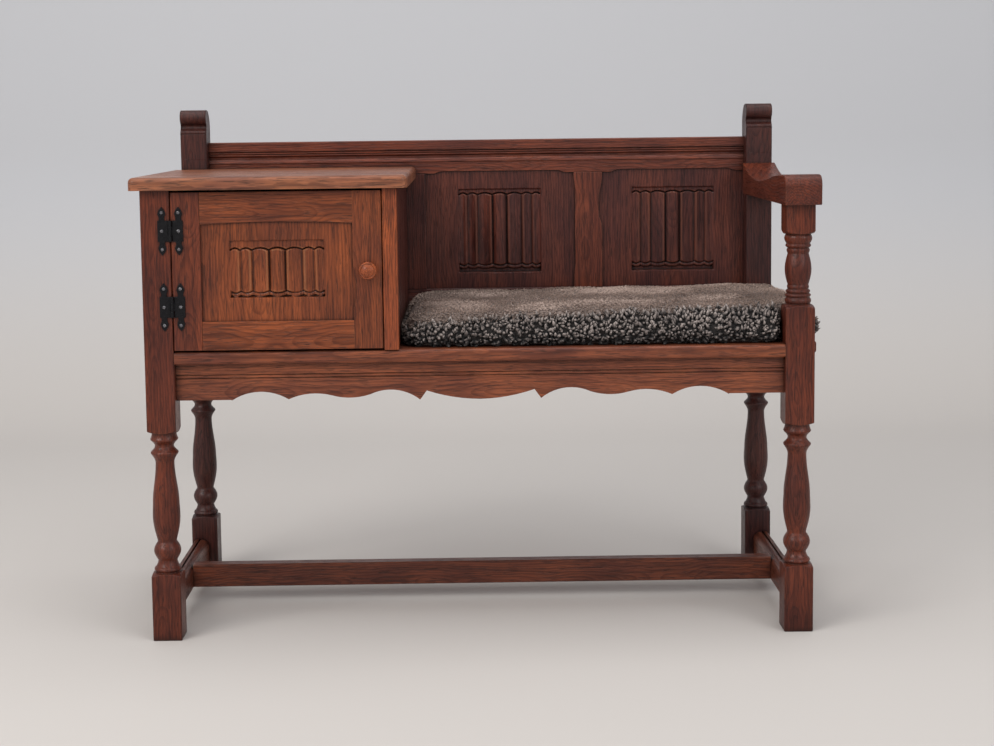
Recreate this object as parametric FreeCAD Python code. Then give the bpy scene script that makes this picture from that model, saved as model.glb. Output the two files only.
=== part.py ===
import FreeCAD, Part
import math
import os

# A small oak settle with a cupboard at its left end: four turned posts, a moulded and scalloped
# front rail, a panelled back with linenfold carving, one arm on a turned support and a loose
# sheepskin seat pad. All sizes are in millimetres.
#
# While the pieces are drawn, x runs from the left posts' outer face to the right, y from the front
# posts' front face to the back, and z up from the floor. At the end every piece is moved so that
# the origin is on the floor in the middle of the settle's plan.

Vector = FreeCAD.Vector

# The frame
bench_width = 1100.0
bench_depth = 448.0
post_size = 48.0
post_arris = 1.5
foot_block_top = 114.0
seat_block_bottom = 350.0
seat_top = 484.0
back_height = 397.0
block_shoulder = 7.0
tenon_length = 20.0
tenon_thickness = 8.0
tenon_shoulder = 5.0
mortise_relief = 1.0

# The turned legs: radii, and heights above the floor or the foot block, or drops below the seat
# block
shoulder_radius = 23.5
cone_height = 20.0
ball_radius = 22.3
neck_radius = 16.0
vase_radius = 22.7
vase_widest = 214.0
vase_taper_radius = 18.3
vase_taper = 262.0
vase_top = 298.0
upper_neck_radius = 15.6
ring_radius = 22.8
ring_spacing = 23.0
ring_drop = 12.5
quirk_radius = 20.4
quirk_drop = 2.5

# The turned arm support, which carries on the front right post
arm_block_rise = 64.0
arm_block_drop = 49.0
arm_barrel_radius = 21.8
arm_barrel_neck = 17.2
arm_pin_radius = 11.0
arm_pin_length = 18.0

# The seat
seat_thickness = 22.0
seat_front_setback = 1.0
seat_right_overhang = 12.0
seat_nosing_radius = 6.0
seat_rail_height = 60.0
seat_rail_thickness = 22.0
seat_rail_setback = 15.0

# The scalloped front rail, from its middle outwards: points as a share of its half length and a
# height above its lower edge, alone where a straight line ends and in pairs along an arc
apron_middle_drop = -3.6
apron_points = (
    ((0.0886, 0.3), (0.1773, 11.5)),
    ((0.1992, -3.6),),
    ((0.2729, 12.8), (0.3625, 6.5)),
    ((0.4263, 1.2), (0.4900, 5.5)),
    ((0.5598, 8.8), (0.6315, -0.2)),
    ((0.7251, 13.0), (0.8187, -1.2)),
    ((0.8187, 0.0),),
)
bead_groove_width = 2.2
bead_groove_depth = 1.8
bead_upper_drop = 18.5
bead_lower_drop = 24.0

# The stretchers
stretcher_bottom = 29.5
stretcher_height = 41.0
stretcher_thickness = 26.0
stretcher_setback = 6.0
stretcher_strip = 7.0
stretcher_quirk = 3.0
stretcher_ovolo = 12.0
centre_stretcher_thickness = 24.0
centre_stretcher_setback = 4.0
centre_tenon_length = 12.0

# The panelled back
back_setback = 25.0
back_thickness = 22.0
top_rail_drop = 61.0
top_rail_height = 63.0
bottom_rail_height = 56.0
muntin_width = 53.0
left_muntin_offset = 8.5
centre_muntin_place = 758.0
panel_setback = 6.0
panel_thickness = 10.0
groove_width = 6.0
groove_depth = 7.0
groove_gap = 0.5
arch_rise = 4.5
arch_corner = 12.0
arch_curve = 22.0
# The middle muntin's hand-worked edges: how far in, and the height as a share of the muntin's own
worked_right_edge = (
    ((0.0, 0.498),),
    ((1.5, 0.562), (5.0, 0.608)),
    ((6.5, 0.737), (4.0, 0.839)),
    ((1.0, 0.912), (0.0, 0.959)),
)
worked_left_edge = (
    ((0.0, 0.959),),
    ((3.2, 0.839),),
    ((2.2, 0.461), (2.8, 0.207)),
    ((0.0, 0.092),),
)

# The rear posts' rolled tops
finial_roll_radius = 15.0
finial_roll_reach = 2.5
finial_cove_depth = 7.0
finial_bead_drop = 45.0
finial_back_width = 22.0

# The linenfold carving, which the door and the back panels share
fold_half_width = 75.0
recess_side_margin = 2.0
recess_depth = 5.0
fold_root = 1.0
back_recess_margin = 30.0
back_fold_low_margin = 17.0
back_fold_high_margin = 11.0
door_recess_low_margin = 39.0
door_recess_high_margin = 31.0
door_fold_low_margin = 11.0
door_fold_high_margin = 16.0

# The cupboard
cupboard_height = 266.0
cupboard_top_thickness = 21.0
cupboard_top_left = 16.0
cupboard_top_right = 18.0
cupboard_top_front = 18.0
cupboard_corner_radius = 10.0
thumbnail_radius = 8.0
cupboard_width = 417.0
front_stile_width = 24.0
front_stile_thickness = 22.0
side_board_thickness = 15.0
left_side_thickness = 12.0
left_side_setback = 18.0
housing_depth = 6.0
stub_shoulder = 5.0
stub_length = 12.0
stub_half_width = 13.0

# The door
door_side_gap = 1.5
door_bottom_gap = 3.0
door_top_gap = 4.0
door_thickness = 20.0
door_stile_width = 47.0
door_top_rail_height = 49.0
door_bottom_rail_height = 47.0
door_rail_arch = 3.5
door_tenon_length = 24.0
stile_scallop_rise = 95.0
stile_scallop_length = 56.0
stile_scallop_depth = 5.0
knob_place_from_edge = 22.5
knob_rise = 129.0
knob_radius = 13.5
knob_neck_radius = 8.0
knob_length = 24.0
knob_tenon_radius = 4.0
knob_tenon_length = 14.0
tenon_clearance = 0.05

# The hinges
lower_hinge_rise = 72.0
upper_hinge_drop = 62.5
hinge_leaf_thickness = 1.8
hinge_axis_proud = 3.4
knuckle_radius = 3.0
knuckle_length = 34.0
knuckle_middle = 14.0
knuckle_gap = 0.3
hinge_pin_radius = 1.5
pin_clearance = 0.05
hinge_plate_reach = 20.5
hinge_spear_place = 13.5
hinge_spear_neck = 4.3
hinge_spear_half_width = 6.4
hinge_half_height = 39.5
hinge_nail_offset = 30.0
nail_head_radius = 3.0
nail_head_height = 1.3
nail_head_facets = 8
nail_half_width = 1.2
nail_length = 14.0

# The catch and the corner blocks
catch_drop = 46.0
catch_width = 22.0
catch_length = 22.0
catch_thickness = 16.0
strike_width = 13.0
strike_height = 14.0
strike_thickness = 1.7
corner_block_size = 40.0
corner_block_height = 38.0

# The arm
arm_width = 60.0
arm_rise = 230.0
arm_front = 22.0
arm_nose_radius = 17.5
arm_nose_taper = 1.0
arm_nose_break = 2.5
arm_crest = 49.0
arm_dip = 30.5
arm_dip_share = 0.58
arm_rear = 57.0
# Points that the arm's top passes through: distance in front of its rear end or behind its crest,
# and height above the dip or below the crest
arm_rear_point = (70.0, 7.5)
arm_middle_rise = 11.0
arm_crest_point = (45.0, 1.5)
arm_arris = 1.5

# The seat pad
pad_clearance = 0.3
pad_front = 15.0
pad_back_gap = 26.0
pad_right_overhang = 18.0
pad_side_gap = 1.5
pad_thickness = 58.0
pad_corner_radius = 42.0

# Lines that several pieces share
left_inner = post_size
right_inner = bench_width - post_size
rear_face = bench_depth - post_size
half_post = post_size / 2.0
post_top = seat_top + back_height
seat_bottom = seat_top - seat_thickness
rail_bottom = seat_bottom - seat_rail_height
back_face = rear_face + back_setback
back_rear = back_face + back_thickness
panel_face = back_face + panel_setback
top_rail_top = post_top - top_rail_drop
top_rail_bottom = top_rail_top - top_rail_height
bottom_rail_top = seat_top + bottom_rail_height
cupboard_top_bottom = seat_top + cupboard_height
finial_bead_height = post_top - finial_bead_drop
arm_bottom = seat_top + arm_rise
arm_dip_height = arm_bottom + arm_dip
centre_stretcher_place = bench_depth / 2.0 + centre_stretcher_setback
left_muntin_place = cupboard_width + left_muntin_offset
left_muntin_left = left_muntin_place - muntin_width / 2.0
left_muntin_right = left_muntin_place + muntin_width / 2.0
centre_muntin_left = centre_muntin_place - muntin_width / 2.0
centre_muntin_right = centre_muntin_place + muntin_width / 2.0
side_board_left = cupboard_width - side_board_thickness
front_stile_left = cupboard_width - front_stile_width
stretcher_top = stretcher_bottom + stretcher_height
clear_radius = post_size * 0.75
margin = 5.0


def plan(a, b):
    return Vector(a, b, 0)


def front(a, b):
    return Vector(a, 0, b)


def side(a, b):
    return Vector(0, a, b)


def face_of(view, start, steps):
    """A face bounded by steps: (end,) is a straight line, (through, end) is an arc."""
    edges = []
    here = start
    for step in steps:
        points = [view(*point) for point in (here,) + tuple(step)]
        if len(points) == 2:
            edges.append(Part.LineSegment(*points).toShape())
        else:
            edges.append(Part.Arc(*points).toShape())
        here = step[-1]
    if math.dist(here, start) > 1e-6:
        edges.append(Part.LineSegment(view(*here), view(*start)).toShape())
    return Part.Face(Part.Wire(edges))


def box(x0, x1, y0, y1, z0, z1):
    return Part.makeBox(x1 - x0, y1 - y0, z1 - z0, Vector(x0, y0, z0))


def rod(radius, length, base, direction):
    return Part.makeCylinder(radius, length, Vector(*base), Vector(*direction))


def mirrored_pair(half, middle):
    return half.fuse(half.mirror(Vector(middle, 0, 0), Vector(1, 0, 0))).removeSplitter()


def flipped(shape):
    """The same piece for the other end of the settle."""
    return shape.mirror(Vector(bench_width / 2.0, 0, 0), Vector(1, 0, 0))


# Turned work. Rings, beads and fillets are plain cones, as a sharp chisel leaves them, and a
# swelling is a few cones along its arc, so that four posts stay light.

def swelling(start, through, end, count):
    """Straight steps along the arc from start through a middle point to the end."""
    arc = Part.Arc(plan(*start), plan(*through), plan(*end)).toShape()
    return [((point.x, point.y),) for point in arc.discretize(Number=count + 1)[1:]]


def leg_turning():
    """Outline of a leg from the sole to the seat block, as radius and height."""
    foot = foot_block_top
    block = seat_block_bottom
    ball_low = foot + cone_height
    ball_middle = ball_low + math.sqrt(ball_radius ** 2 - neck_radius ** 2)
    ball_high = 2.0 * ball_middle - ball_low
    steps = [
        ((clear_radius, -margin),),
        ((clear_radius, foot - block_shoulder),),
        ((shoulder_radius, foot),),
        ((neck_radius, ball_low),),
    ]
    steps += swelling((neck_radius, ball_low), (ball_radius, ball_middle), (neck_radius, ball_high), 4)
    steps += swelling((neck_radius, ball_high), (vase_radius, vase_widest),
                      (vase_taper_radius, vase_taper), 4)
    upper_ridge = block - ring_drop
    lower_ridge = upper_ridge - ring_spacing
    steps += [
        ((upper_neck_radius, vase_top),),
        ((ring_radius, lower_ridge),),
        ((upper_neck_radius, lower_ridge + ring_spacing / 2.0),),
        ((ring_radius, upper_ridge),),
        ((quirk_radius, block - quirk_drop),),
        ((shoulder_radius, block),),
        ((clear_radius, block + block_shoulder),),
    ]
    return (0, -margin), steps


def support_turning():
    """Outline of the arm support, from its lower block to the pin that enters the arm."""
    low = seat_top + arm_block_rise
    high = arm_bottom - arm_block_drop
    steps = [
        ((clear_radius, low - block_shoulder),),
        ((shoulder_radius, low),),
    ]
    # Each bead's ridge and the groove beyond it: distance from the block, then radius
    lower_beads = ((6.5, 21.6, 12.8, 19.0), (15.6, 21.3, 18.8, 18.4),
                   (22.6, 20.0, 25.8, 17.0), (29.3, 18.0, 33.5, arm_barrel_neck))
    for ridge, ridge_radius, groove, groove_radius in lower_beads:
        steps += [((ridge_radius, low + ridge),), ((groove_radius, low + groove),)]
    upper_beads = ((26.6, 18.8, 23.4, 17.4), (19.4, 21.0, 16.2, 19.4), (7.0, 22.8, 2.6, 20.6))
    steps += swelling((arm_barrel_neck, low + 33.5), (arm_barrel_radius, (low + high) / 2.0),
                      (arm_barrel_neck, high - 32.2), 4)
    for ridge, ridge_radius, groove, groove_radius in upper_beads:
        steps += [((ridge_radius, high - ridge),), ((groove_radius, high - groove),)]
    steps += [
        ((shoulder_radius, high),),
        ((clear_radius, high + block_shoulder),),
        ((clear_radius, arm_bottom),),
        ((arm_pin_radius, arm_bottom),),
        ((arm_pin_radius, arm_bottom + arm_pin_length),),
        ((0, arm_bottom + arm_pin_length),),
    ]
    return steps


def square_blank(height):
    half = half_post
    inner = half - post_arris
    corners = [(inner, -half), (half, -inner), (half, inner), (inner, half),
               (-inner, half), (-half, inner), (-half, -inner)]
    outline = face_of(plan, (-inner, -half), [(corner,) for corner in corners])
    return outline.extrude(Vector(0, 0, height))


def turned(start, steps):
    return face_of(front, start, steps).revolve(Vector(0, 0, 0), Vector(0, 0, 1), 360)


def plain_topped_leg(height):
    start, steps = leg_turning()
    steps = steps + [((clear_radius, height + margin),), ((0, height + margin),)]
    return square_blank(height).common(turned(start, steps))


def arm_post():
    start, steps = leg_turning()
    return square_blank(arm_bottom + arm_pin_length).common(turned(start, steps + support_turning()))


def finial_outline():
    """Side view of a rear post: a roll at the front over a cove, and a rounded back."""
    bead = finial_bead_height
    roll_z = post_top - finial_roll_radius
    roll_y = finial_roll_radius - finial_roll_reach
    cove_low = bead + 7.0
    cove_high = roll_z - 12.0
    return (0, -margin), [
        ((post_size + margin, -margin),),
        ((post_size + margin, bead - 12.0),),
        ((post_size, bead - 12.0),),
        ((post_size, bead + 2.0),),
        ((post_size - 7.0, post_top - 14.0), (finial_back_width, post_top)),
        ((roll_y, post_top),),
        ((roll_y - finial_roll_radius, roll_z), (finial_cove_depth, cove_high)),
        ((finial_cove_depth + 1.5, cove_high - 2.5), (finial_cove_depth, cove_low + 3.0)),
        ((1.5, cove_low),),
        ((0, cove_low - 2.5),),
        ((0, bead + 2.0),),
        ((1.4, bead + 1.0),),
        ((0, bead),),
        ((-margin, bead),),
        ((-margin, -margin),),
    ]


def rear_post():
    start, steps = leg_turning()
    steps = steps + [((clear_radius, post_top + margin),), ((0, post_top + margin),)]
    leg = square_blank(post_top).fuse(box(-half_post, half_post, -half_post - finial_roll_reach,
                                          -half_post + post_arris, finial_bead_height + 5.0, post_top))
    profile = face_of(side, *finial_outline()).extrude(Vector(post_size, 0, 0))
    profile.translate(Vector(-half_post, -half_post, 0))
    return leg.common(turned(start, steps)).common(profile)


# Mortises, grooves and holes are gathered here for each piece and cut out of it at the end
cuts = {}


def cut_from(name, *shapes):
    cuts.setdefault(name, []).extend(shapes)


pieces = {}


def add_posts():
    posts = {
        "front_left_post": (plain_topped_leg(cupboard_top_bottom), half_post, half_post),
        "front_right_post": (arm_post(), bench_width - half_post, half_post),
        "rear_left_post": (rear_post(), half_post, rear_face + half_post),
        "rear_right_post": (rear_post(), bench_width - half_post, rear_face + half_post),
    }
    for name, (shape, x, y) in posts.items():
        shape.translate(Vector(x, y, 0))
        pieces[name] = shape


def tenon_pair(name, axis, low, high, across, z0, z1, left_post, right_post):
    """Tenons at both ends of a rail that lies along an axis, and their mortises in the posts."""
    reach = tenon_length
    y0 = across - tenon_thickness / 2.0
    y1 = across + tenon_thickness / 2.0
    relief = mortise_relief
    root = tenon_shoulder
    if axis == "x":
        tenons = [box(low - reach, low + root, y0, y1, z0, z1), box(high - root, high + reach, y0, y1, z0, z1)]
        cut_from(left_post, box(low - reach - relief, low, y0, y1, z0, z1))
        cut_from(right_post, box(high, high + reach + relief, y0, y1, z0, z1))
    else:
        tenons = [box(y0, y1, low - reach, low + root, z0, z1), box(y0, y1, high - root, high + reach, z0, z1)]
        cut_from(left_post, box(y0, y1, low - reach - relief, low, z0, z1))
        cut_from(right_post, box(y0, y1, high, high + reach + relief, z0, z1))
    pieces[name] = pieces[name].fuse(tenons).removeSplitter()


# Seat frame

def apron_half():
    """Right half of the front rail, whose lower edge has bellies, arches and cusps."""
    middle = bench_width / 2.0
    half_length = right_inner - middle
    steps = [tuple((middle + share * half_length, rail_bottom + up) for share, up in step)
             for step in apron_points]
    steps += [
        ((right_inner, rail_bottom),),
        ((right_inner, seat_bottom),),
        ((middle, seat_bottom),),
    ]
    return face_of(front, (middle, rail_bottom + apron_middle_drop), steps)


def add_seat_rails():
    y0 = seat_rail_setback
    y1 = y0 + seat_rail_thickness
    half = apron_half().extrude(Vector(0, seat_rail_thickness, 0))
    rail = mirrored_pair(half, bench_width / 2.0)
    rail.translate(Vector(0, y0, 0))
    for drop in (bead_upper_drop, bead_lower_drop):
        z = seat_bottom - drop
        half_width = bead_groove_width / 2.0
        groove = face_of(side, (y0, z - half_width), [
            ((y0 + bead_groove_depth, z),),
            ((y0, z + half_width),),
        ]).extrude(Vector(bench_width, 0, 0))
        rail = rail.cut(groove)
    pieces["front_rail"] = rail
    z0 = rail_bottom + tenon_shoulder
    z1 = seat_bottom - tenon_shoulder
    tenon_pair("front_rail", "x", left_inner, right_inner, (y0 + y1) / 2.0, z0, z1,
               "front_left_post", "front_right_post")

    rear_y = rear_face + half_post
    pieces["rear_seat_rail"] = box(left_inner, right_inner, rear_y - seat_rail_thickness / 2.0,
                                   rear_y + seat_rail_thickness / 2.0, rail_bottom, seat_bottom)
    tenon_pair("rear_seat_rail", "x", left_inner, right_inner, rear_y, z0, z1,
               "rear_left_post", "rear_right_post")

    for hand in ("left", "right"):
        x0 = seat_rail_setback
        x1 = x0 + seat_rail_thickness
        # These tenons pass beside those of the front and rear rails, so they lie at the outer face
        tenon_x = x0 + tenon_thickness / 2.0
        if hand == "right":
            x0, x1 = bench_width - x1, bench_width - x0
            tenon_x = bench_width - tenon_x
        name = hand + "_seat_rail"
        pieces[name] = box(x0, x1, post_size, rear_face, rail_bottom, seat_bottom)
        tenon_pair(name, "y", post_size, rear_face, tenon_x, z0, z1,
                   "front_" + hand + "_post", "rear_" + hand + "_post")


def add_seat_board():
    y0 = seat_front_setback
    y1 = back_rear
    x1 = bench_width + seat_right_overhang
    corners = [(left_inner, post_size), (left_inner, y0), (right_inner, y0), (right_inner, post_size),
               (x1, post_size), (x1, rear_face), (right_inner, rear_face), (right_inner, y1),
               (left_inner, y1), (left_inner, rear_face), (0, rear_face)]
    board = face_of(plan, (0, post_size), [(corner,) for corner in corners])
    board.translate(Vector(0, 0, seat_bottom))
    board = board.extrude(Vector(0, 0, seat_thickness))
    nosing = []
    for edge in board.Edges:
        mid = edge.CenterOfMass
        level = abs(mid.z - seat_top) < 0.1 or abs(mid.z - seat_bottom) < 0.1
        if level and (abs(mid.y - y0) < 0.1 or abs(mid.x - x1) < 0.1):
            nosing.append(edge)
    pieces["seat_board"] = board.makeFillet(seat_nosing_radius, nosing)


def add_corner_blocks():
    """Four glue blocks under the seat board, each notched round its post."""
    size = corner_block_size
    half = []
    x = seat_rail_setback + seat_rail_thickness
    front_y = x
    rear_y = rear_face + half_post - seat_rail_thickness / 2.0
    for y, post_y, back in ((front_y, post_size, 1), (rear_y, rear_face, -1)):
        far = post_y + back * size
        outline = face_of(plan, (post_size, y), [
            ((x + size, y),),
            ((x + size, post_y),),
            ((post_size, far),),
            ((x, far),),
            ((x, post_y),),
            ((post_size, post_y),),
        ])
        outline.translate(Vector(0, 0, seat_bottom - corner_block_height))
        half.append(outline.extrude(Vector(0, 0, corner_block_height)))
    pieces["seat_corner_blocks"] = Part.makeCompound(half + [flipped(block) for block in half])


# Stretchers

def add_stretchers():
    x0 = stretcher_setback
    x1 = x0 + stretcher_thickness
    low = stretcher_bottom
    top = stretcher_top
    quirk_x = x0 + stretcher_strip
    ovolo_x = quirk_x + stretcher_quirk
    ovolo_top = top - 1.5
    section = face_of(front, (x0, low), [
        ((x1, low),),
        ((x1, ovolo_top - stretcher_ovolo),),
        ((x1 - 4.5, ovolo_top - 3.0), (ovolo_x, ovolo_top)),
        ((ovolo_x, top - 4.0),),
        ((quirk_x, top - 4.0),),
        ((quirk_x, top),),
        ((x0 + 1.5, top),),
        ((x0, top - 1.5),),
    ])
    section.translate(Vector(0, post_size, 0))
    left = section.extrude(Vector(0, rear_face - post_size, 0))
    tenon_x = x0 + stretcher_thickness / 2.0
    pieces["left_stretcher"] = left
    pieces["right_stretcher"] = flipped(left)
    z0 = low + tenon_shoulder
    z1 = top - tenon_shoulder - stretcher_quirk
    for hand, x in (("left", tenon_x), ("right", bench_width - tenon_x)):
        tenon_pair(hand + "_stretcher", "y", post_size, rear_face, x, z0, z1,
                   "front_" + hand + "_post", "rear_" + hand + "_post")

    y0 = centre_stretcher_place - centre_stretcher_thickness / 2.0
    y1 = centre_stretcher_place + centre_stretcher_thickness / 2.0
    rail = box(x1, bench_width - x1, y0, y1, low, top)
    rail = rail.makeChamfer(1.5, [edge for edge in rail.Edges if edge.Length > bench_width / 2.0])
    tenon_y0 = centre_stretcher_place - tenon_thickness / 2.0
    tenon_y1 = centre_stretcher_place + tenon_thickness / 2.0
    z1 = ovolo_top - stretcher_ovolo
    reach = centre_tenon_length
    rail = rail.fuse(box(x1 - reach, bench_width - x1 + reach, tenon_y0, tenon_y1, z0, z1))
    pieces["centre_stretcher"] = rail.removeSplitter()
    relief = mortise_relief
    cut_from("left_stretcher", box(x1 - reach - relief, x1, tenon_y0, tenon_y1, z0, z1))
    cut_from("right_stretcher", box(bench_width - x1, bench_width - x1 + reach + relief,
                                    tenon_y0, tenon_y1, z0, z1))
    # The centre stretcher's end is scribed to the moulded side stretcher
    for hand in ("left", "right"):
        cut_from("centre_stretcher", left if hand == "left" else flipped(left))


# Panelled back

def top_rail_section():
    """Section of the back's top rail: band, two beads, a cove and a slope down to a flat."""
    y = back_face
    low = top_rail_bottom
    top = top_rail_top
    bead_high = top - 19.5
    bead_low = bead_high - 7.5
    slope = bead_low - 5.5
    return face_of(side, (y + 2.0, low), [
        ((back_rear, low),),
        ((back_rear, top - 1.5),),
        ((back_rear - 1.5, top),),
        ((y + 1.5, top),),
        ((y, top - 1.5),),
        ((y, bead_high + 2.0),),
        ((y + 3.2, bead_high + 1.2),),
        ((y + 3.2, bead_high),),
        ((y + 1.2, bead_high - 1.6), (y + 3.2, bead_high - 3.2)),
        ((y + 3.2, bead_high - 4.0),),
        ((y + 1.6, bead_high - 5.6), (y + 3.6, bead_high - 7.2)),
        ((y + 5.2, bead_low - 1.0),),
        ((y + 5.6, slope + 2.0), (y + 3.6, slope),),
        ((y + 1.4, slope - 3.5), (y + 0.4, slope - 7.5)),
        ((y + 2.0, slope - 8.5),),
    ])


def arch_over(left, right):
    """The shallow arch that the top rail has over a panel, with an S-curve at each end."""
    low = top_rail_bottom
    high = low + arch_rise
    mid = low + arch_rise / 2.0
    a = left + arch_corner
    b = a + arch_curve
    half_curve = arch_curve / 2.0
    c = right - arch_corner
    d = c - arch_curve
    return face_of(front, (left + 1.0, low - margin), [
        ((right - 1.0, low - margin),),
        ((right - 1.0, low),),
        ((c, low),),
        ((c - half_curve / 2.0, low + arch_rise / 8.0), (c - half_curve, mid)),
        ((d + half_curve / 2.0, high - arch_rise / 8.0), (d, high)),
        ((b, high),),
        ((b - half_curve / 2.0, high - arch_rise / 8.0), (a + half_curve, mid)),
        ((a + half_curve / 2.0, low + arch_rise / 8.0), (a, low)),
        ((left + 1.0, low),),
    ])


def add_back_rails():
    length = right_inner - left_inner
    rail = top_rail_section()
    rail.translate(Vector(left_inner, 0, 0))
    rail = rail.extrude(Vector(length, 0, 0))
    for left, right in ((left_muntin_right, centre_muntin_left), (centre_muntin_right, right_inner)):
        arch = arch_over(left, right)
        arch.translate(Vector(0, back_face - margin, 0))
        rail = rail.cut(arch.extrude(Vector(0, back_thickness + 2 * margin, 0)))
    pieces["back_top_rail"] = rail
    across = panel_face + groove_width / 2.0 + 1.0
    tenon_pair("back_top_rail", "x", left_inner, right_inner, across,
               top_rail_bottom + groove_depth + tenon_shoulder + 3.0, top_rail_top - tenon_shoulder,
               "rear_left_post", "rear_right_post")
    groove_top = top_rail_bottom + arch_rise + groove_depth
    cut_from("back_top_rail", box(left_inner, right_inner, panel_face, panel_face + groove_width,
                                  top_rail_bottom - margin, groove_top))

    rail = box(left_inner, right_inner, back_face, back_rear, seat_top, bottom_rail_top)
    rail = rail.makeChamfer(1.5, [edge for edge in rail.Edges
                                  if edge.Length > bench_width / 2.0
                                  and edge.CenterOfMass.z > seat_top + 1.0
                                  and edge.CenterOfMass.y < back_face + 1.0])
    pieces["back_bottom_rail"] = rail
    tenon_pair("back_bottom_rail", "x", left_inner, right_inner, across,
               seat_top + tenon_shoulder, bottom_rail_top - groove_depth - tenon_shoulder,
               "rear_left_post", "rear_right_post")
    cut_from("back_bottom_rail", box(left_inner, right_inner, panel_face, panel_face + groove_width,
                                     bottom_rail_top - groove_depth, bottom_rail_top + margin))
    for name, x0, x1 in (("rear_left_post", left_inner - groove_depth, left_inner),
                         ("rear_right_post", right_inner, right_inner + groove_depth)):
        cut_from(name, box(x0, x1, panel_face, panel_face + groove_width,
                           bottom_rail_top - groove_depth, groove_top))


def muntin(left, right, edge_steps_right, edge_steps_left):
    """An upright between panels; its worked edges are drawn from bottom to top and back down."""
    low = bottom_rail_top
    high = top_rail_bottom
    outline = [((right, low),)] + edge_steps_right + [((left, high),)] + edge_steps_left
    body = face_of(front, (left, low), outline)
    body.translate(Vector(0, back_face, 0))
    body = body.extrude(Vector(0, back_thickness - 2.0, 0))
    tongue = box(left + groove_depth, right - groove_depth, panel_face, panel_face + groove_width,
                 low - groove_depth + groove_gap, high + groove_depth - groove_gap)
    body = body.fuse(tongue).removeSplitter()
    for x0, x1 in ((left - margin, left + groove_depth), (right - groove_depth, right + margin)):
        body = body.cut(box(x0, x1, panel_face, panel_face + groove_width,
                            low - margin * 2, high + margin * 4))
    return body


def add_muntins():
    high = top_rail_bottom
    left = left_muntin_left
    right = left_muntin_right
    pieces["back_left_muntin"] = muntin(left, right, [((right, high),)], [])

    # The middle muntin was shaped by hand: a long hollow on its left edge, a short one on its right
    left = centre_muntin_left
    right = centre_muntin_right
    low = bottom_rail_top
    height = high - low
    worked_right = [tuple((right - inwards, low + share * height) for inwards, share in step)
                    for step in worked_right_edge]
    worked_left = [tuple((left + inwards, low + share * height) for inwards, share in step)
                   for step in worked_left_edge]
    pieces["back_centre_muntin"] = muntin(left, right, worked_right + [((right, high),)], worked_left)


# Linenfold carving

def fold_section(ground):
    """Right half of the folded cloth's section; the ground is the recess's floor."""
    def out(height):
        return ground - height
    outer = fold_half_width
    return face_of(plan, (0, ground + fold_root), [
        ((0, out(5.4)),),
        ((7.0, out(5.0)),),
        ((12.5, out(2.4)),),
        ((13.8, out(0.8)),),
        ((14.8, out(4.6)),),
        ((17.0, out(5.3)),),
        ((20.0, out(4.2)),),
        ((30.0, out(2.1)), (41.0, out(1.6))),
        ((42.6, out(4.4)),),
        ((44.8, out(5.0)),),
        ((47.5, out(3.9)),),
        ((53.0, out(2.1)), (60.0, out(1.6))),
        ((61.6, out(3.8)),),
        ((63.8, out(4.4)),),
        ((outer, out(1.6)),),
        ((outer, ground + fold_root),),
    ])


def fold_ends(low, high):
    """Right half of the cloth's front outline, whose two ends curl round each fold."""
    outer = fold_half_width
    lower = [(0, low + 2.0), (8.0, low + 1.2), (13.8, low - 3.4), (17.0, low - 4.6), (20.5, low - 0.8),
             (30.0, low + 1.8), (42.0, low + 0.2), (44.8, low - 2.0), (48.0, low + 0.2),
             (60.5, low + 0.6), (63.8, low - 1.4), (outer, low + 0.8)]
    upper = [(outer, high - 0.8), (63.8, high + 1.2), (60.5, high - 0.8), (48.0, high - 0.4),
             (44.8, high + 1.8), (42.0, high - 0.8), (30.0, high - 2.4), (20.5, high + 0.4),
             (17.0, high + 4.4), (13.8, high + 2.8), (8.0, high - 3.0), (0, high - 4.6)]
    outline = lower + upper
    return face_of(front, outline[0], [(point,) for point in outline[1:]])


def recess_outline(low, high):
    """Right half of the sunk field round the folds; its lower edge echoes their curls."""
    outer = fold_half_width + recess_side_margin
    return face_of(front, (0, low), [
        ((9.0, low + 2.6), (18.0, low)),
        ((29.0, low + 2.8), (40.0, low)),
        ((50.0, low + 2.4), (60.0, low)),
        ((outer, low + 0.5),),
        ((outer, high),),
        ((0, high),),
    ])


def linenfold(board, middle, face, fold_low, fold_high, recess_low, recess_high):
    """Sinks a field into a board and leaves the folded cloth standing in it."""
    ground = face + recess_depth
    field = recess_outline(recess_low, recess_high)
    field.translate(Vector(0, face - margin, 0))
    field = field.extrude(Vector(0, margin + recess_depth, 0))
    folds = fold_section(ground)
    folds.translate(Vector(0, 0, fold_low - margin * 2))
    folds = folds.extrude(Vector(0, 0, fold_high - fold_low + margin * 4))
    ends = fold_ends(fold_low, fold_high)
    ends.translate(Vector(0, face - margin, 0))
    folds = folds.common(ends.extrude(Vector(0, recess_depth + 2 * margin, 0)))
    field = mirrored_pair(field, 0)
    folds = mirrored_pair(folds, 0)
    for shape in (field, folds):
        shape.translate(Vector(middle, 0, 0))
    return board.cut(field).fuse(folds).removeSplitter()


def panel_board(left, right, low, high):
    """A back panel with tongues on all four edges, flush with its front, and up under the arch."""
    reach = groove_depth - groove_gap
    tongue = box(left - reach, right + reach, panel_face, panel_face + groove_width,
                 low - reach, high + arch_rise + reach)
    field = box(left + groove_gap, right - groove_gap, panel_face, panel_face + panel_thickness,
                low + groove_gap, high - groove_gap)
    return tongue.fuse(field).removeSplitter()


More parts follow.
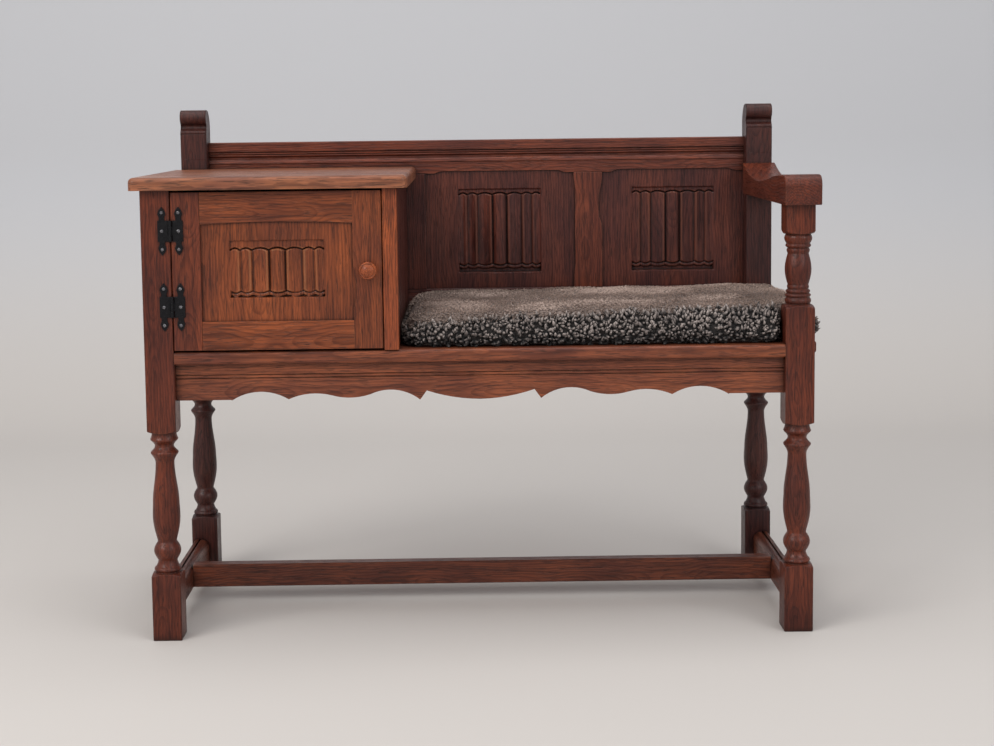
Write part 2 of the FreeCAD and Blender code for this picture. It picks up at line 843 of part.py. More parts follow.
def add_back_panels():
    spans = {
        "cabinet_back_panel": (left_inner, left_muntin_left, False),
        "left_linenfold_panel": (left_muntin_right, centre_muntin_left, True),
        "right_linenfold_panel": (centre_muntin_right, right_inner, True),
    }
    recess_low = bottom_rail_top + back_recess_margin
    recess_high = top_rail_bottom - back_recess_margin
    for name, (left, right, carved) in spans.items():
        board = panel_board(left, right, bottom_rail_top, top_rail_bottom)
        if carved:
            board = linenfold(board, (left + right) / 2.0, panel_face,
                              recess_low + back_fold_low_margin, recess_high - back_fold_high_margin,
                              recess_low, recess_high)
        pieces[name] = board


# Cupboard

def add_cupboard_top():
    x0 = -cupboard_top_left
    x1 = cupboard_width + cupboard_top_right
    y0 = -cupboard_top_front
    r = cupboard_corner_radius
    k = r * (1.0 - math.sqrt(0.5))
    rear = back_face

    def outline(inset):
        left = x0 + inset
        right = x1 - inset
        near = y0 + inset
        return face_of(plan, (left + r, near), [
            ((right - r, near),),
            ((right - k, near + k), (right, near + r)),
            ((right, rear),),
            ((left_inner, rear),),
            ((left_inner, rear_face),),
            ((left, rear_face),),
            ((left, near + r),),
            ((left + k, near + k), (left + r, near)),
        ])

    low = cupboard_top_bottom
    top = low + cupboard_top_thickness
    board = outline(0)
    board.translate(Vector(0, 0, low))
    board = board.extrude(Vector(0, 0, cupboard_top_thickness))
    rounded = []
    for edge in board.Edges:
        mid = edge.CenterOfMass
        on_rim = mid.y < y0 + r or mid.x < x0 + 0.1 or mid.x > x1 - 0.1
        if abs(mid.z - top) < 0.1 and on_rim:
            rounded.append(edge)
    pieces["cabinet_top"] = board.makeFillet(thumbnail_radius, rounded)


def add_cupboard_sides():
    low = seat_top
    high = cupboard_top_bottom
    reach = groove_depth - groove_gap
    x0 = left_side_setback
    x1 = x0 + left_side_thickness
    pieces["cabinet_left_side"] = box(x0, x1, post_size - reach, rear_face + reach, low, high)
    cut_from("front_left_post", box(x0, x1, post_size - groove_depth, post_size, low, high))
    cut_from("rear_left_post", box(x0, x1, rear_face, rear_face + groove_depth, low, high))

    side = box(side_board_left, cupboard_width, front_stile_thickness, back_face,
               low - housing_depth, high + housing_depth)
    stile = box(front_stile_left, cupboard_width, 0, front_stile_thickness, low, high)
    stile = stile.makeChamfer(
        1.0, [edge for edge in stile.Edges if edge.Length > 100.0 and edge.CenterOfMass.y < 1.0])
    stub = box(front_stile_left + stub_shoulder, cupboard_width - stub_shoulder, stub_shoulder,
               front_stile_thickness - stub_shoulder, low - stub_length, high + stub_length)
    pieces["cabinet_right_side"] = side
    pieces["cabinet_front_stile"] = stile.fuse(stub)
    post_stub = box(half_post - stub_half_width, half_post + stub_half_width,
                    half_post - stub_half_width, half_post + stub_half_width,
                    high - margin, high + stub_length)
    pieces["front_left_post"] = pieces["front_left_post"].fuse(post_stub).removeSplitter()
    cut_from("seat_board", side, stub)
    cut_from("cabinet_top", side, stub, post_stub)


# Door

door_left = left_inner + door_side_gap
door_right = front_stile_left - door_side_gap
door_low = seat_top + door_bottom_gap
door_high = cupboard_top_bottom - door_top_gap
opening_left = door_left + door_stile_width
opening_right = door_right - door_stile_width
opening_low = door_low + door_bottom_rail_height
opening_high = door_high - door_top_rail_height
door_panel_face = panel_setback - 1.0
door_panel_thickness = panel_thickness + 1.0
stile_scallop_height = door_low + stile_scallop_rise
knob_height = door_low + knob_rise
hinge_heights = (door_low + lower_hinge_rise, door_high - upper_hinge_drop)
catch_height = door_high - catch_drop


def add_door_stiles():
    stile = box(door_left, opening_left, 0, door_thickness, door_low, door_high)
    stile = stile.makeChamfer(1.0, [edge for edge in stile.Edges
                                    if edge.Length > 100.0 and edge.CenterOfMass.y < 1.0])
    pieces["door_hinge_stile"] = stile

    half = stile_scallop_length / 2.0
    outline = face_of(front, (door_right, door_low), [
        ((door_right, door_high),),
        ((opening_right, door_high),),
        ((opening_right, stile_scallop_height + half),),
        ((opening_right + stile_scallop_depth, stile_scallop_height),
         (opening_right, stile_scallop_height - half)),
        ((opening_right, door_low),),
    ])
    stile = outline.extrude(Vector(0, door_thickness, 0))
    pieces["door_lock_stile"] = stile.makeChamfer(
        1.0, [edge for edge in stile.Edges
              if edge.CenterOfMass.y < 1.0 and abs(edge.CenterOfMass.x - door_right) < 0.1])


def add_door_rails():
    tenon_y0 = door_panel_face
    tenon_y1 = tenon_y0 + groove_width
    reach = door_tenon_length
    middle = (opening_left + opening_right) / 2.0

    outline = face_of(front, (opening_left, opening_high - door_rail_arch), [
        ((middle, opening_high), (opening_right, opening_high - door_rail_arch)),
        ((opening_right, door_high),),
        ((opening_left, door_high),),
    ])
    top_rail = outline.extrude(Vector(0, door_thickness, 0))
    bottom_rail = box(opening_left, opening_right, 0, door_thickness, door_low, opening_low)
    rails = {
        "door_top_rail": (top_rail, opening_high + groove_depth + 1.0, door_high - tenon_shoulder),
        "door_bottom_rail": (bottom_rail, door_low + tenon_shoulder, opening_low - groove_depth - 1.0),
    }
    for name, (rail, z0, z1) in rails.items():
        pieces[name] = rail.fuse(box(opening_left - reach, opening_right + reach,
                                     tenon_y0, tenon_y1, z0, z1)).removeSplitter()
        cut_from("door_hinge_stile", box(opening_left - reach - mortise_relief, opening_left,
                                         tenon_y0, tenon_y1, z0, z1))
        cut_from("door_lock_stile", box(opening_right, opening_right + reach + mortise_relief,
                                        tenon_y0, tenon_y1, z0, z1))
    # Panel grooves round the opening; the stile's scallop leaves its groove a lip
    low = opening_low - groove_depth
    high = opening_high + groove_depth
    cut_from("door_hinge_stile", box(opening_left - groove_depth, opening_left,
                                     tenon_y0, tenon_y1, low, high))
    cut_from("door_lock_stile", box(opening_right - margin, opening_right + groove_depth,
                                    tenon_y0, tenon_y1, low, high))
    cut_from("door_top_rail", box(opening_left, opening_right, tenon_y0, tenon_y1,
                                  opening_high - margin, high))
    cut_from("door_bottom_rail", box(opening_left, opening_right, tenon_y0, tenon_y1,
                                     low, opening_low + margin))


def add_door_panel():
    reach = groove_depth - groove_gap
    face = door_panel_face
    tongue = box(opening_left - reach, opening_right + reach, face, face + groove_width,
                 opening_low - reach, opening_high + reach)
    field = box(opening_left + groove_gap, opening_right - groove_gap, face,
                face + door_panel_thickness, opening_low + groove_gap,
                opening_high - door_rail_arch - groove_gap)
    board = tongue.fuse(field).removeSplitter()
    middle = (opening_left + opening_right) / 2.0
    recess_low = opening_low + door_recess_low_margin
    recess_high = opening_high - door_recess_high_margin
    pieces["door_panel"] = linenfold(board, middle, face, recess_low + door_fold_low_margin,
                                     recess_high - door_fold_high_margin, recess_low, recess_high)


def add_door_knob():
    """A turned wooden knob; its outline is drawn as radius and distance in front of the door."""
    rim = knob_radius
    neck = knob_neck_radius
    length = knob_length
    knob = face_of(front, (0, -knob_tenon_length), [
        ((knob_tenon_radius, -knob_tenon_length),),
        ((knob_tenon_radius, 0),),
        ((neck, 0),),
        ((rim, length * 0.5),),
        ((rim, length * 0.75),),
        ((rim * 0.55, length),),
        ((0, length),),
    ]).revolve(Vector(0, 0, 0), Vector(0, 0, 1), 360)
    knob.rotate(Vector(0, 0, 0), Vector(1, 0, 0), 90)
    x = door_right - knob_place_from_edge
    knob.translate(Vector(x, 0, knob_height))
    pieces["door_knob"] = knob
    cut_from("door_lock_stile", rod(knob_tenon_radius + tenon_clearance,
                                    knob_tenon_length + mortise_relief,
                                    (x, 0, knob_height), (0, 1, 0)))


# Hinges: H-shaped iron leaves with spear ends, screwed to the faces of the post and the door

hinge_x = left_inner + door_side_gap / 2.0
hinge_y = -hinge_axis_proud


def leaf_outline(hand, middle):
    """One leaf, right of the axis when hand is 1 and left when it is -1: a plate with two spears."""
    half = knuckle_length / 2.0
    spear = hinge_spear_place
    neck = hinge_spear_neck
    wide = hinge_spear_half_width
    tip = hinge_half_height
    shoulder = hinge_nail_offset - 2.0
    upper = [(0.0, half), (spear - neck, half), (spear - neck, half + 5.0), (spear - wide, shoulder),
             (spear - wide * 0.7, shoulder + 6.0), (spear, tip), (spear + wide * 0.7, shoulder + 6.0),
             (spear + wide, shoulder), (spear + neck, half + 5.0), (spear + neck, half),
             (hinge_plate_reach, half)]
    lower = [(across, -up) for across, up in reversed(upper)]
    points = [(hinge_x + hand * across, middle + up) for across, up in upper + lower]
    return face_of(front, points[0], [(point,) for point in points[1:]])


def square_bar(x, z, half_width, y0, y1):
    return box(x - half_width, x + half_width, y0, y1, z - half_width, z + half_width)


def nail(x, z):
    """A wrought nail: a low faceted head on the leaf, and a square shank through it into the wood."""
    face_y = -hinge_leaf_thickness
    ring = []
    for step in range(nail_head_facets):
        turn = 2.0 * math.pi * (step + 0.5) / nail_head_facets
        ring.append(Vector(x + nail_head_radius * math.cos(turn), face_y,
                           z + nail_head_radius * math.sin(turn)))
    head = Part.Face(Part.makePolygon(ring + ring[:1])).extrude(Vector(0, -nail_head_height, 0))
    outer_y = face_y - nail_head_height
    head = head.makeChamfer(nail_head_height * 0.8, [edge for edge in head.Edges
                                                     if abs(edge.CenterOfMass.y - outer_y) < 0.01])
    shank = square_bar(x, z, nail_half_width, face_y, nail_length)
    return head.fuse(shank).removeSplitter()


def add_hinges():
    """Each hinge has a fixed leaf with two knuckles, a swinging leaf with one, and a pin."""
    half = knuckle_length / 2.0
    mid = knuckle_middle / 2.0
    gap = knuckle_gap
    thickness = hinge_leaf_thickness
    room = knuckle_radius + gap
    hands = {
        -1: ("post_hinge_leaves", "post_hinge_nails", "front_left_post",
             ((-half, -mid - gap), (mid + gap, half)), ((-mid - gap, mid + gap),)),
        1: ("door_hinge_leaves", "door_hinge_nails", "door_hinge_stile",
            ((-mid, mid),), ((-half - 1.0, -mid), (mid, half + 1.0))),
    }
    for hand, (leaf_name, nail_name, wood, own, other) in hands.items():
        leaves = []
        nails = []
        for height in hinge_heights:
            plate = leaf_outline(hand, height)
            plate.translate(Vector(0, -thickness, 0))
            plate = plate.extrude(Vector(0, thickness, 0))
            for low, high in other:
                plate = plate.cut(box(hinge_x - room, hinge_x + room, -thickness - 1.0, 1.0,
                                      height + low, height + high))
            for low, high in own:
                plate = plate.fuse(rod(knuckle_radius, high - low,
                                       (hinge_x, hinge_y, height + low), (0, 0, 1)))
            bore = rod(hinge_pin_radius + pin_clearance, knuckle_length + 2.0,
                       (hinge_x, hinge_y, height - half - 1.0), (0, 0, 1))
            plate = plate.cut(bore)
            x = hinge_x + hand * hinge_spear_place
            for up in (-hinge_nail_offset, 0.0, hinge_nail_offset):
                nails.append(nail(x, height + up))
                hole = square_bar(x, height + up, nail_half_width, -thickness, nail_length)
                plate = plate.cut(hole)
                cut_from(wood, hole)
            leaves.append(plate.removeSplitter())
        pieces[leaf_name] = Part.makeCompound(leaves)
        pieces[nail_name] = Part.makeCompound(nails)
    pieces["hinge_pins"] = Part.makeCompound([
        rod(hinge_pin_radius, knuckle_length, (hinge_x, hinge_y, height - half), (0, 0, 1))
        for height in hinge_heights])


def add_catch():
    half = catch_thickness / 2.0
    y0 = front_stile_thickness
    housing = box(side_board_left - catch_width, side_board_left, y0, y0 + catch_length,
                  catch_height - half, catch_height + half)
    pieces["door_catch"] = housing.makeChamfer(
        1.5, [edge for edge in housing.Edges
              if edge.CenterOfMass.x < side_board_left - catch_width + 0.1])
    x1 = door_right - 1.0
    half = strike_height / 2.0
    pieces["door_strike_plate"] = box(x1 - strike_width, x1, door_thickness,
                                      door_thickness + strike_thickness,
                                      catch_height - half, catch_height + half)


# Arm

def arm_outline(x, inset):
    """Side outline of the arm: a round nose, a crest, a long dip and a rise to the rear post."""
    nose = arm_nose_radius - inset
    front_y = -arm_front + inset
    roll_y = -arm_front + arm_nose_radius
    crest_height = arm_bottom + arm_crest
    roll_z = crest_height - arm_nose_radius
    top = crest_height - inset
    dip = arm_dip_height - inset
    dip_y = rear_face * arm_dip_share
    rear_top = arm_bottom + arm_rear - inset
    crest = Part.BSplineCurve()
    crest.interpolate([
        side(rear_face, rear_top),
        side(rear_face - arm_rear_point[0], dip + arm_rear_point[1]),
        side(dip_y, dip),
        side((dip_y + roll_y) / 2.0, dip + arm_middle_rise),
        side(roll_y + arm_crest_point[0], top - arm_crest_point[1]),
        side(roll_y, top),
    ])
    middle = nose * math.sqrt(0.5)
    roll = Part.Arc(side(roll_y, top), side(roll_y - middle, roll_z + middle), side(front_y, roll_z))
    foot_y = front_y + arm_nose_taper
    corners = [(front_y, roll_z), (foot_y, arm_bottom + inset), (foot_y + arm_nose_break, arm_bottom),
               (rear_face, arm_bottom), (rear_face, rear_top)]
    edges = [crest.toShape(), roll.toShape()]
    for one, two in zip(corners, corners[1:]):
        edges.append(Part.LineSegment(side(*one), side(*two)).toShape())
    wire = Part.Wire(edges)
    wire.translate(Vector(x, 0, 0))
    return wire


def add_arm():
    """The arm is lofted between outlines so that its upper arrises are taken off all the way."""
    middle = bench_width - half_post
    half_width = arm_width / 2.0
    inner = half_width - arm_arris
    sections = [arm_outline(middle - half_width, arm_arris), arm_outline(middle - inner, 0.0),
                arm_outline(middle + inner, 0.0), arm_outline(middle + half_width, arm_arris)]
    arm = Part.makeLoft(sections, True, True)
    tenon = box(middle - stub_half_width, middle + stub_half_width, rear_face - margin,
                rear_face + tenon_length, arm_bottom + tenon_shoulder, arm_dip_height - tenon_shoulder)
    pieces["armrest"] = arm.fuse(tenon).removeSplitter()
    cut_from("rear_right_post", tenon)
    cut_from("armrest", rod(arm_pin_radius + tenon_clearance, arm_pin_length + mortise_relief,
                            (middle, half_post, arm_bottom), (0, 0, 1)))


# Seat pad

def pad_ring(x0, x1, y0, y1, radius, z):
    k = radius * (1.0 - math.sqrt(0.5))
    ring = face_of(plan, (x0 + radius, y0), [
        ((x1 - radius, y0),),
        ((x1 - k, y0 + k), (x1, y0 + radius)),
        ((x1, y1 - radius),),
        ((x1 - k, y1 - k), (x1 - radius, y1)),
        ((x0 + radius, y1),),
        ((x0 + k, y1 - k), (x0, y1 - radius)),
        ((x0, y0 + radius),),
        ((x0 + k, y0 + k), (x0 + radius, y0)),
    ]).OuterWire
    ring.translate(Vector(0, 0, z))
    return ring


def add_seat_pad():
    """A loose pad with drawn-in sides and a crowned top, notched round the front right post."""
    x0 = cupboard_width + pad_side_gap
    x1 = bench_width + pad_right_overhang
    low = seat_top + pad_clearance
    pad_back = back_face - pad_back_gap
    # Height as a share of the thickness, and how far the outline is drawn in there
    levels = ((0.0, 12.0), (0.2, 3.0), (0.45, 0.0), (0.7, 3.0), (0.9, 14.0), (1.0, 34.0))
    rings = []
    for share, inset in levels:
        rings.append(pad_ring(x0 + inset, x1 - inset, pad_front + inset, pad_back - inset,
                              pad_corner_radius, low + share * pad_thickness))
    pad = Part.makeLoft(rings, True, True)
    notch = box(right_inner - pad_clearance, bench_width + 2 * post_size, -post_size,
                post_size + pad_clearance, low - margin, low + pad_thickness + margin)
    pieces["seat_pad"] = pad.cut(notch)


add_posts()
add_seat_rails()
add_seat_board()
add_corner_blocks()
add_stretchers()
add_back_rails()
add_muntins()
add_back_panels()
add_cupboard_top()
add_cupboard_sides()
add_door_stiles()
add_door_rails()
add_door_panel()
add_door_knob()
add_hinges()
add_catch()
add_arm()
add_seat_pad()

for name, cutters in cuts.items():
    pieces[name] = pieces[name].cut(cutters)

# The plan runs from the cupboard top's left end to the pad's right edge, and from the arm's nose
# to the rear posts' backs
middle_x = (bench_width + pad_right_overhang - cupboard_top_left) / 2.0
middle_y = (bench_depth - arm_front) / 2.0

os.makedirs("parts", exist_ok=True)
for name, shape in pieces.items():
    shape.translate(Vector(-middle_x, -middle_y, 0))
    shape.exportStep("parts/" + name + ".step")
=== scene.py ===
import bpy
import bmesh
import math
import random
from mathutils import Matrix, Vector, noise


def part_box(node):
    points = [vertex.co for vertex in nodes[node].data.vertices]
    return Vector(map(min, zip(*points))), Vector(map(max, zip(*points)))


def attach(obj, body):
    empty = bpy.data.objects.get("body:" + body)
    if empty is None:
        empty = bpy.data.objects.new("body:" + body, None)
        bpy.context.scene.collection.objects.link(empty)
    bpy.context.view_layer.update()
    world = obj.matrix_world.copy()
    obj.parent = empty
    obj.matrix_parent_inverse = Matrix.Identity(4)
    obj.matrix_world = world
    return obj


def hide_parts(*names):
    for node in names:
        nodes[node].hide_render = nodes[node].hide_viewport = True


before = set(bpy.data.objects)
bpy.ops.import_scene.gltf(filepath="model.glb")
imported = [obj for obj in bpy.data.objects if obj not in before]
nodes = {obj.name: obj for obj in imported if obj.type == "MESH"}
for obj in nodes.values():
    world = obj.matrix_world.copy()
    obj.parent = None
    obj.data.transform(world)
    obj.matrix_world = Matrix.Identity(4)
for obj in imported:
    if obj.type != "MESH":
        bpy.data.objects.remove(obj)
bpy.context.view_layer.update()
print("frame loaded:", len(nodes), "nodes")

# bench drawings count x from the left posts, y from the front posts and z from the floor, in mm
benchOrigin = (551.0, 213.0)


def fromBench(x, y, z):
    return Vector(((x - benchOrigin[0]) / 1000, (y - benchOrigin[1]) / 1000, z / 1000))


def addObject(name, data):
    made = bpy.data.objects.new(name, data)
    bpy.context.scene.collection.objects.link(made)
    return made


# camera
cameraSettings = {
    "place": (-0.01228, -2.91291, 0.86101),  # metres
    "turn": -0.0081,  # radians to the left
    "dip": 0.0963,  # radians downwards
    "tilt": 0.0122,  # radians clockwise
    "lens": 60.17,  # mm
    "sensor": 36.0,  # mm
    "shift": (0.0113, -0.0955),
}


def makeCamera(settings):
    ct, st = math.cos(settings["turn"]), math.sin(settings["turn"])
    cd, sd = math.cos(settings["dip"]), math.sin(settings["dip"])
    cr, sr = math.cos(settings["tilt"]), math.sin(settings["tilt"])
    level = Vector((ct, st, 0))
    upright = Vector((-sd * st, sd * ct, cd))
    right = level * cr - upright * sr
    up = level * sr + upright * cr
    ahead = Vector((-cd * st, cd * ct, -sd))
    camera = addObject("benchCamera", bpy.data.cameras.new("benchCamera"))
    turn = Matrix((right, up, -ahead)).transposed().to_4x4()
    camera.matrix_world = Matrix.Translation(settings["place"]) @ turn
    camera.data.lens = settings["lens"]
    camera.data.sensor_width = settings["sensor"]
    camera.data.shift_x, camera.data.shift_y = settings["shift"]
    bpy.context.scene.camera = camera


makeCamera(cameraSettings)
bpy.context.scene.view_settings.view_transform = "Standard"
print("camera placed")


# helpers for shader trees
def paint(red, green, blue):
    # a colour as seen on screen, 0 to 255, turned into the light it stands for
    values = [v / 255 for v in (red, green, blue)]
    return [v / 12.92 if v <= 0.04045 else ((v + 0.055) / 1.055) ** 2.4 for v in values] + [1.0]


def shade(colour, factor, tint=(1.0, 1.0, 1.0)):
    return [min(1.0, v * factor * f) for v, f in zip(colour, tint)] + [1.0]


def treeOf(*values):
    return next(value.id_data for value in values if isinstance(value, bpy.types.NodeSocket))


def feed(socket, value):
    if isinstance(value, bpy.types.NodeSocket):
        socket.id_data.links.new(value, socket)
    elif value is not None:
        socket.default_value = value


def setInputs(node, values):
    for label, value in values.items():
        node.inputs[label].default_value = value


def calc(operation, first, second=None, clamp=False):
    node = treeOf(first, second).nodes.new("ShaderNodeMath")
    node.operation = operation
    node.use_clamp = clamp
    for socket, value in zip(node.inputs, (first, second)):
        feed(socket, value)
    return node.outputs[0]


def plus(first, second):
    return calc("ADD", first, second)


def less(first, second):
    return calc("SUBTRACT", first, second)


def times(first, second, clamp=False):
    return calc("MULTIPLY", first, second, clamp)


def joinAxes(x, y, z):
    node = treeOf(x, y, z).nodes.new("ShaderNodeCombineXYZ")
    for socket, value in zip(node.inputs, (x, y, z)):
        feed(socket, value)
    return node.outputs[0]


def splitAxes(value):
    node = treeOf(value).nodes.new("ShaderNodeSeparateXYZ")
    feed(node.inputs[0], value)
    return node.outputs


def vectorCalc(operation, first, second):
    node = treeOf(first, second).nodes.new("ShaderNodeVectorMath")
    node.operation = operation
    feed(node.inputs[0], first)
    feed(node.inputs[1], second)
    return node.outputs


def noiseOf(place, scale, detail=2.0, rough=0.5, bend=0.0):
    node = treeOf(place).nodes.new("ShaderNodeTexNoise")
    feed(node.inputs["Vector"], place)
    setInputs(node, {"Scale": scale, "Detail": detail, "Roughness": rough, "Distortion": bend})
    return node.outputs[0]


def ramp(value, low, high, toLow=0.0, toHigh=1.0):
    node = treeOf(value).nodes.new("ShaderNodeMapRange")
    node.interpolation_type = "SMOOTHSTEP"
    for socket, number in zip(node.inputs, (value, low, high, toLow, toHigh)):
        feed(socket, number)
    return node.outputs[0]


def mixColours(factor, first, second, way="MIX"):
    node = treeOf(factor, first, second).nodes.new("ShaderNodeMix")
    node.data_type = "RGBA"
    node.blend_type = way
    for index, value in ((0, factor), (6, first), (7, second)):
        feed(node.inputs[index], value)
    return node.outputs[2]


def attributeOf(tree, name):
    node = tree.nodes.new("ShaderNodeAttribute")
    node.attribute_name = name
    return node.outputs["Fac"]


def addBump(shader, strength, distance, height, normal=None):
    node = shader.id_data.nodes.new("ShaderNodeBump")
    setInputs(node, {"Strength": strength, "Distance": distance})
    feed(node.inputs["Height"], height)
    feed(node.inputs["Normal"], normal)
    feed(shader.inputs["Normal"], node.outputs[0])


def newMaterial(name):
    material = bpy.data.materials.new(name)
    material.use_nodes = True
    tree = material.node_tree
    where = tree.nodes.new("ShaderNodeTexCoord").outputs["Object"]
    return material, tree, tree.nodes["Principled BSDF"], where


def newGroup(name, takes, gives):
    group = bpy.data.node_groups.new(name, "ShaderNodeTree")
    for label, value in takes:
        kind = "NodeSocketVector" if isinstance(value, tuple) else "NodeSocketFloat"
        group.interface.new_socket(label, in_out="INPUT", socket_type=kind).default_value = value
    for label, kind in gives:
        group.interface.new_socket(label, in_out="OUTPUT", socket_type="NodeSocket" + kind)
    return group, group.nodes.new("NodeGroupInput").outputs, group.nodes.new("NodeGroupOutput").inputs


def placeGroup(tree, group, **values):
    node = tree.nodes.new("ShaderNodeGroup")
    node.node_tree = group
    for label, value in values.items():
        feed(node.inputs[label], value)
    return node.outputs


# growth rings of a plank cut beside the tree's pith, with oak's long pores and streaks
grainSettings = {
    "seedGap": 3.17,  # metres between one board's noise and the next
    "slowStretch": 1.6,
    "drift": (4.5, 2.0), "driftReach": 0.075,  # scale and detail, and metres it moves the rings
    "wave": (16.0, 2.5), "waveReach": 0.007,
    "fine": (14.0, 70.0, 3.0, 0.5),  # scales along and across the grain, detail and roughness
    "fineReach": 0.42,  # rings
    "lateFrom": 0.35, "lateTo": 0.88, "lateEnd": 0.93,  # share of a ring where it darkens
    "pores": (34.0, 620.0, 2.0, 0.6), "poreLimit": 0.52, "poreLate": 0.1, "poreEdge": 0.1,
    "streaks": (7.0, 170.0, 3.0, 0.6), "streakRange": (0.32, 0.7),
    "blotchStretch": 0.5, "blotches": (13.0, 3.0, 0.55), "blotchRange": (0.3, 0.72),
}


def makeOakGrain(settings):
    tree, given, result = newGroup("oakGrain", [
        ("Place", (0.0, 0.0, 0.0)), ("PithSide", 0.0), ("PithDepth", 0.04), ("RingSpacing", 0.004),
        ("Wander", 1.0), ("Seed", 0.0),
    ], [(label, "Float") for label in ("Rings", "Pores", "Streaks", "Blotches")])
    along, across, into = splitAxes(given["Place"])
    seed = times(given["Seed"], settings["seedGap"])
    slowPlace = joinAxes(plus(along, seed), times(across, settings["slowStretch"]), seed)

    def slow(kind):
        return less(noiseOf(slowPlace, *settings[kind]), 0.5)

    def stretched(kind):
        # noise drawn out along the grain
        length, width, detail, rough = settings[kind]
        place = joinAxes(times(along, length), times(across, width),
                         plus(times(into, width), seed))
        return noiseOf(place, 1.0, detail, rough)

    drift = times(times(slow("drift"), given["Wander"]), settings["driftReach"])
    wave = times(slow("wave"), settings["waveReach"])
    depth = plus(plus(into, given["PithDepth"]), drift)
    aside = plus(plus(across, given["PithSide"]), wave)
    radius = calc("SQRT", plus(calc("POWER", depth, 2.0), calc("POWER", aside, 2.0)))
    fine = times(less(stretched("fine"), 0.5), settings["fineReach"])
    phase = calc("FRACT", plus(calc("DIVIDE", radius, given["RingSpacing"]), fine))
    late = times(ramp(phase, settings["lateFrom"], settings["lateTo"]),
                 ramp(phase, 1.0, settings["lateEnd"]))
    feed(result["Rings"], late)
    limit = plus(times(late, settings["poreLate"]), settings["poreLimit"])
    feed(result["Pores"], ramp(less(stretched("pores"), limit), 0.0, settings["poreEdge"]))
    feed(result["Streaks"], ramp(stretched("streaks"), *settings["streakRange"]))
    blotchPlace = joinAxes(plus(times(along, settings["blotchStretch"]), seed), across, into)
    blotches = noiseOf(blotchPlace, *settings["blotches"])
    feed(result["Blotches"], ramp(blotches, *settings["blotchRange"]))
    return tree


# worn arrises, and a normal that rounds them over
wearSettings = {
    "round": 0.0016,  # metres
    "samples": 6,
    "turned": (0.01, 0.16),  # how far the surface turns away within the spread
    "rub": (42.0, 4.0, 0.65), "rubRange": (0.38, 0.66),
}


def makeEdgeWear(settings):
    tree, given, result = newGroup("edgeWear", [
        ("Place", (0.0, 0.0, 0.0)), ("Spread", 0.0022),
    ], [("Mask", "Float"), ("Normal", "Vector")])

    def bevel(radius):
        node = tree.nodes.new("ShaderNodeBevel")
        node.samples = settings["samples"]
        feed(node.inputs["Radius"], radius)
        return node.outputs[0]

    feed(result["Normal"], bevel(settings["round"]))
    flat = tree.nodes.new("ShaderNodeNewGeometry").outputs["Normal"]
    alike = vectorCalc("DOT_PRODUCT", bevel(given["Spread"]), flat)["Value"]
    turned = ramp(less(1.0, alike), *settings["turned"])
    rub = ramp(noiseOf(given["Place"], *settings["rub"]), *settings["rubRange"])
    feed(result["Mask"], times(turned, rub, clamp=True))
    return tree


# painted shade: darker colour in corners and hollows, found by ambient occlusion and made patchy, standing for
# the shade there together with dark wax and dust
hollowShadeSettings = {
    "samples": 6,
    "deep": (0.12, 0.62),
    "patch": (55.0, 3.0, 0.6), "patchRange": (0.25, 0.6, 0.45, 1.0),
}


def makeHollowShadeMask(settings):
    tree, given, result = newGroup("hollowShadeMask", [
        ("Place", (0.0, 0.0, 0.0)), ("Reach", 0.012),
    ], [("Mask", "Float")])
    hidden = tree.nodes.new("ShaderNodeAmbientOcclusion")
    hidden.samples = settings["samples"]
    feed(hidden.inputs["Distance"], given["Reach"])
    deep = ramp(less(1.0, hidden.outputs["AO"]), *settings["deep"])
    patch = ramp(noiseOf(given["Place"], *settings["patch"]), *settings["patchRange"])
    feed(result["Mask"], times(deep, patch, clamp=True))
    return tree


oakGrain = makeOakGrain(grainSettings)
edgeWear = makeEdgeWear(wearSettings)
hollowShadeMask = makeHollowShadeMask(hollowShadeSettings)


# finishes of the oak: mean colour as seen on screen, rubbed arrises (also the painted highlight on proud
# carving), how far they are rubbed, roughness
oakFinishes = {
    "post": ((82, 39, 27), (150, 90, 60), 0.5, 0.36),
    # painted shade: the rear posts take a darker copy of the post finish, as less light reaches them
    "rearPost": ((58, 31, 29), (104, 66, 58), 0.3, 0.38),
    "doorStile": ((90, 45, 31), (146, 88, 58), 0.4, 0.34),
    "door": ((108, 58, 35), (158, 100, 64), 0.45, 0.34),
    "lightDoor": ((133, 71, 42), (172, 112, 74), 0.45, 0.34),
    "back": ((74, 39, 34), (112, 66, 50), 0.35, 0.38),
    "backRail": ((92, 48, 36), (146, 94, 72), 0.6, 0.34),
    "top": ((124, 81, 61), (184, 132, 92), 0.65, 0.36),
    "apron": ((108, 62, 44), (166, 108, 76), 0.6, 0.36),
    "stretcher": ((82, 44, 32), (136, 88, 66), 0.6, 0.38),
    "plain": ((112, 72, 48), (150, 104, 76), 0.3, 0.55),
}
oakLook = {
    "late": (0.44, (1.0, 0.86, 0.9)),  # against the mean colour: factor and tint
    "early": (1.55, (1.08, 0.98, 0.84)),
    "rings": 0.42, "streaks": 0.5,  # shares in the figure
    "thin": (1.24, 1.2, 1.1, 1.0), "pooled": (0.66, 0.6, 0.7, 1.0),
    "pores": 0.7, "poreShade": 0.2,
    # strength and darkness of the painted shade in corners and hollows, with dark wax
    "hollowShade": 0.8, "hollowShadeDarkness": 0.12,
    # painted shade in the carving's hollows and painted highlight on its proud places
    "sunk": (-0.15, -1.1, 0.0, 0.82), "sunkShade": 0.1,
    "proudHighlight": (0.25, 1.1, 0.0, 0.5),
    "poreRough": 0.18, "blotchRough": 0.14, "polish": 0.07,
    "bump": (0.55, 0.0005),  # strength, and metres
    "ringRelief": 0.35, "blotchRelief": 0.6,
    "shader": {"Specular IOR Level": 0.28, "Coat Weight": 0.05, "Coat Roughness": 0.2},
}


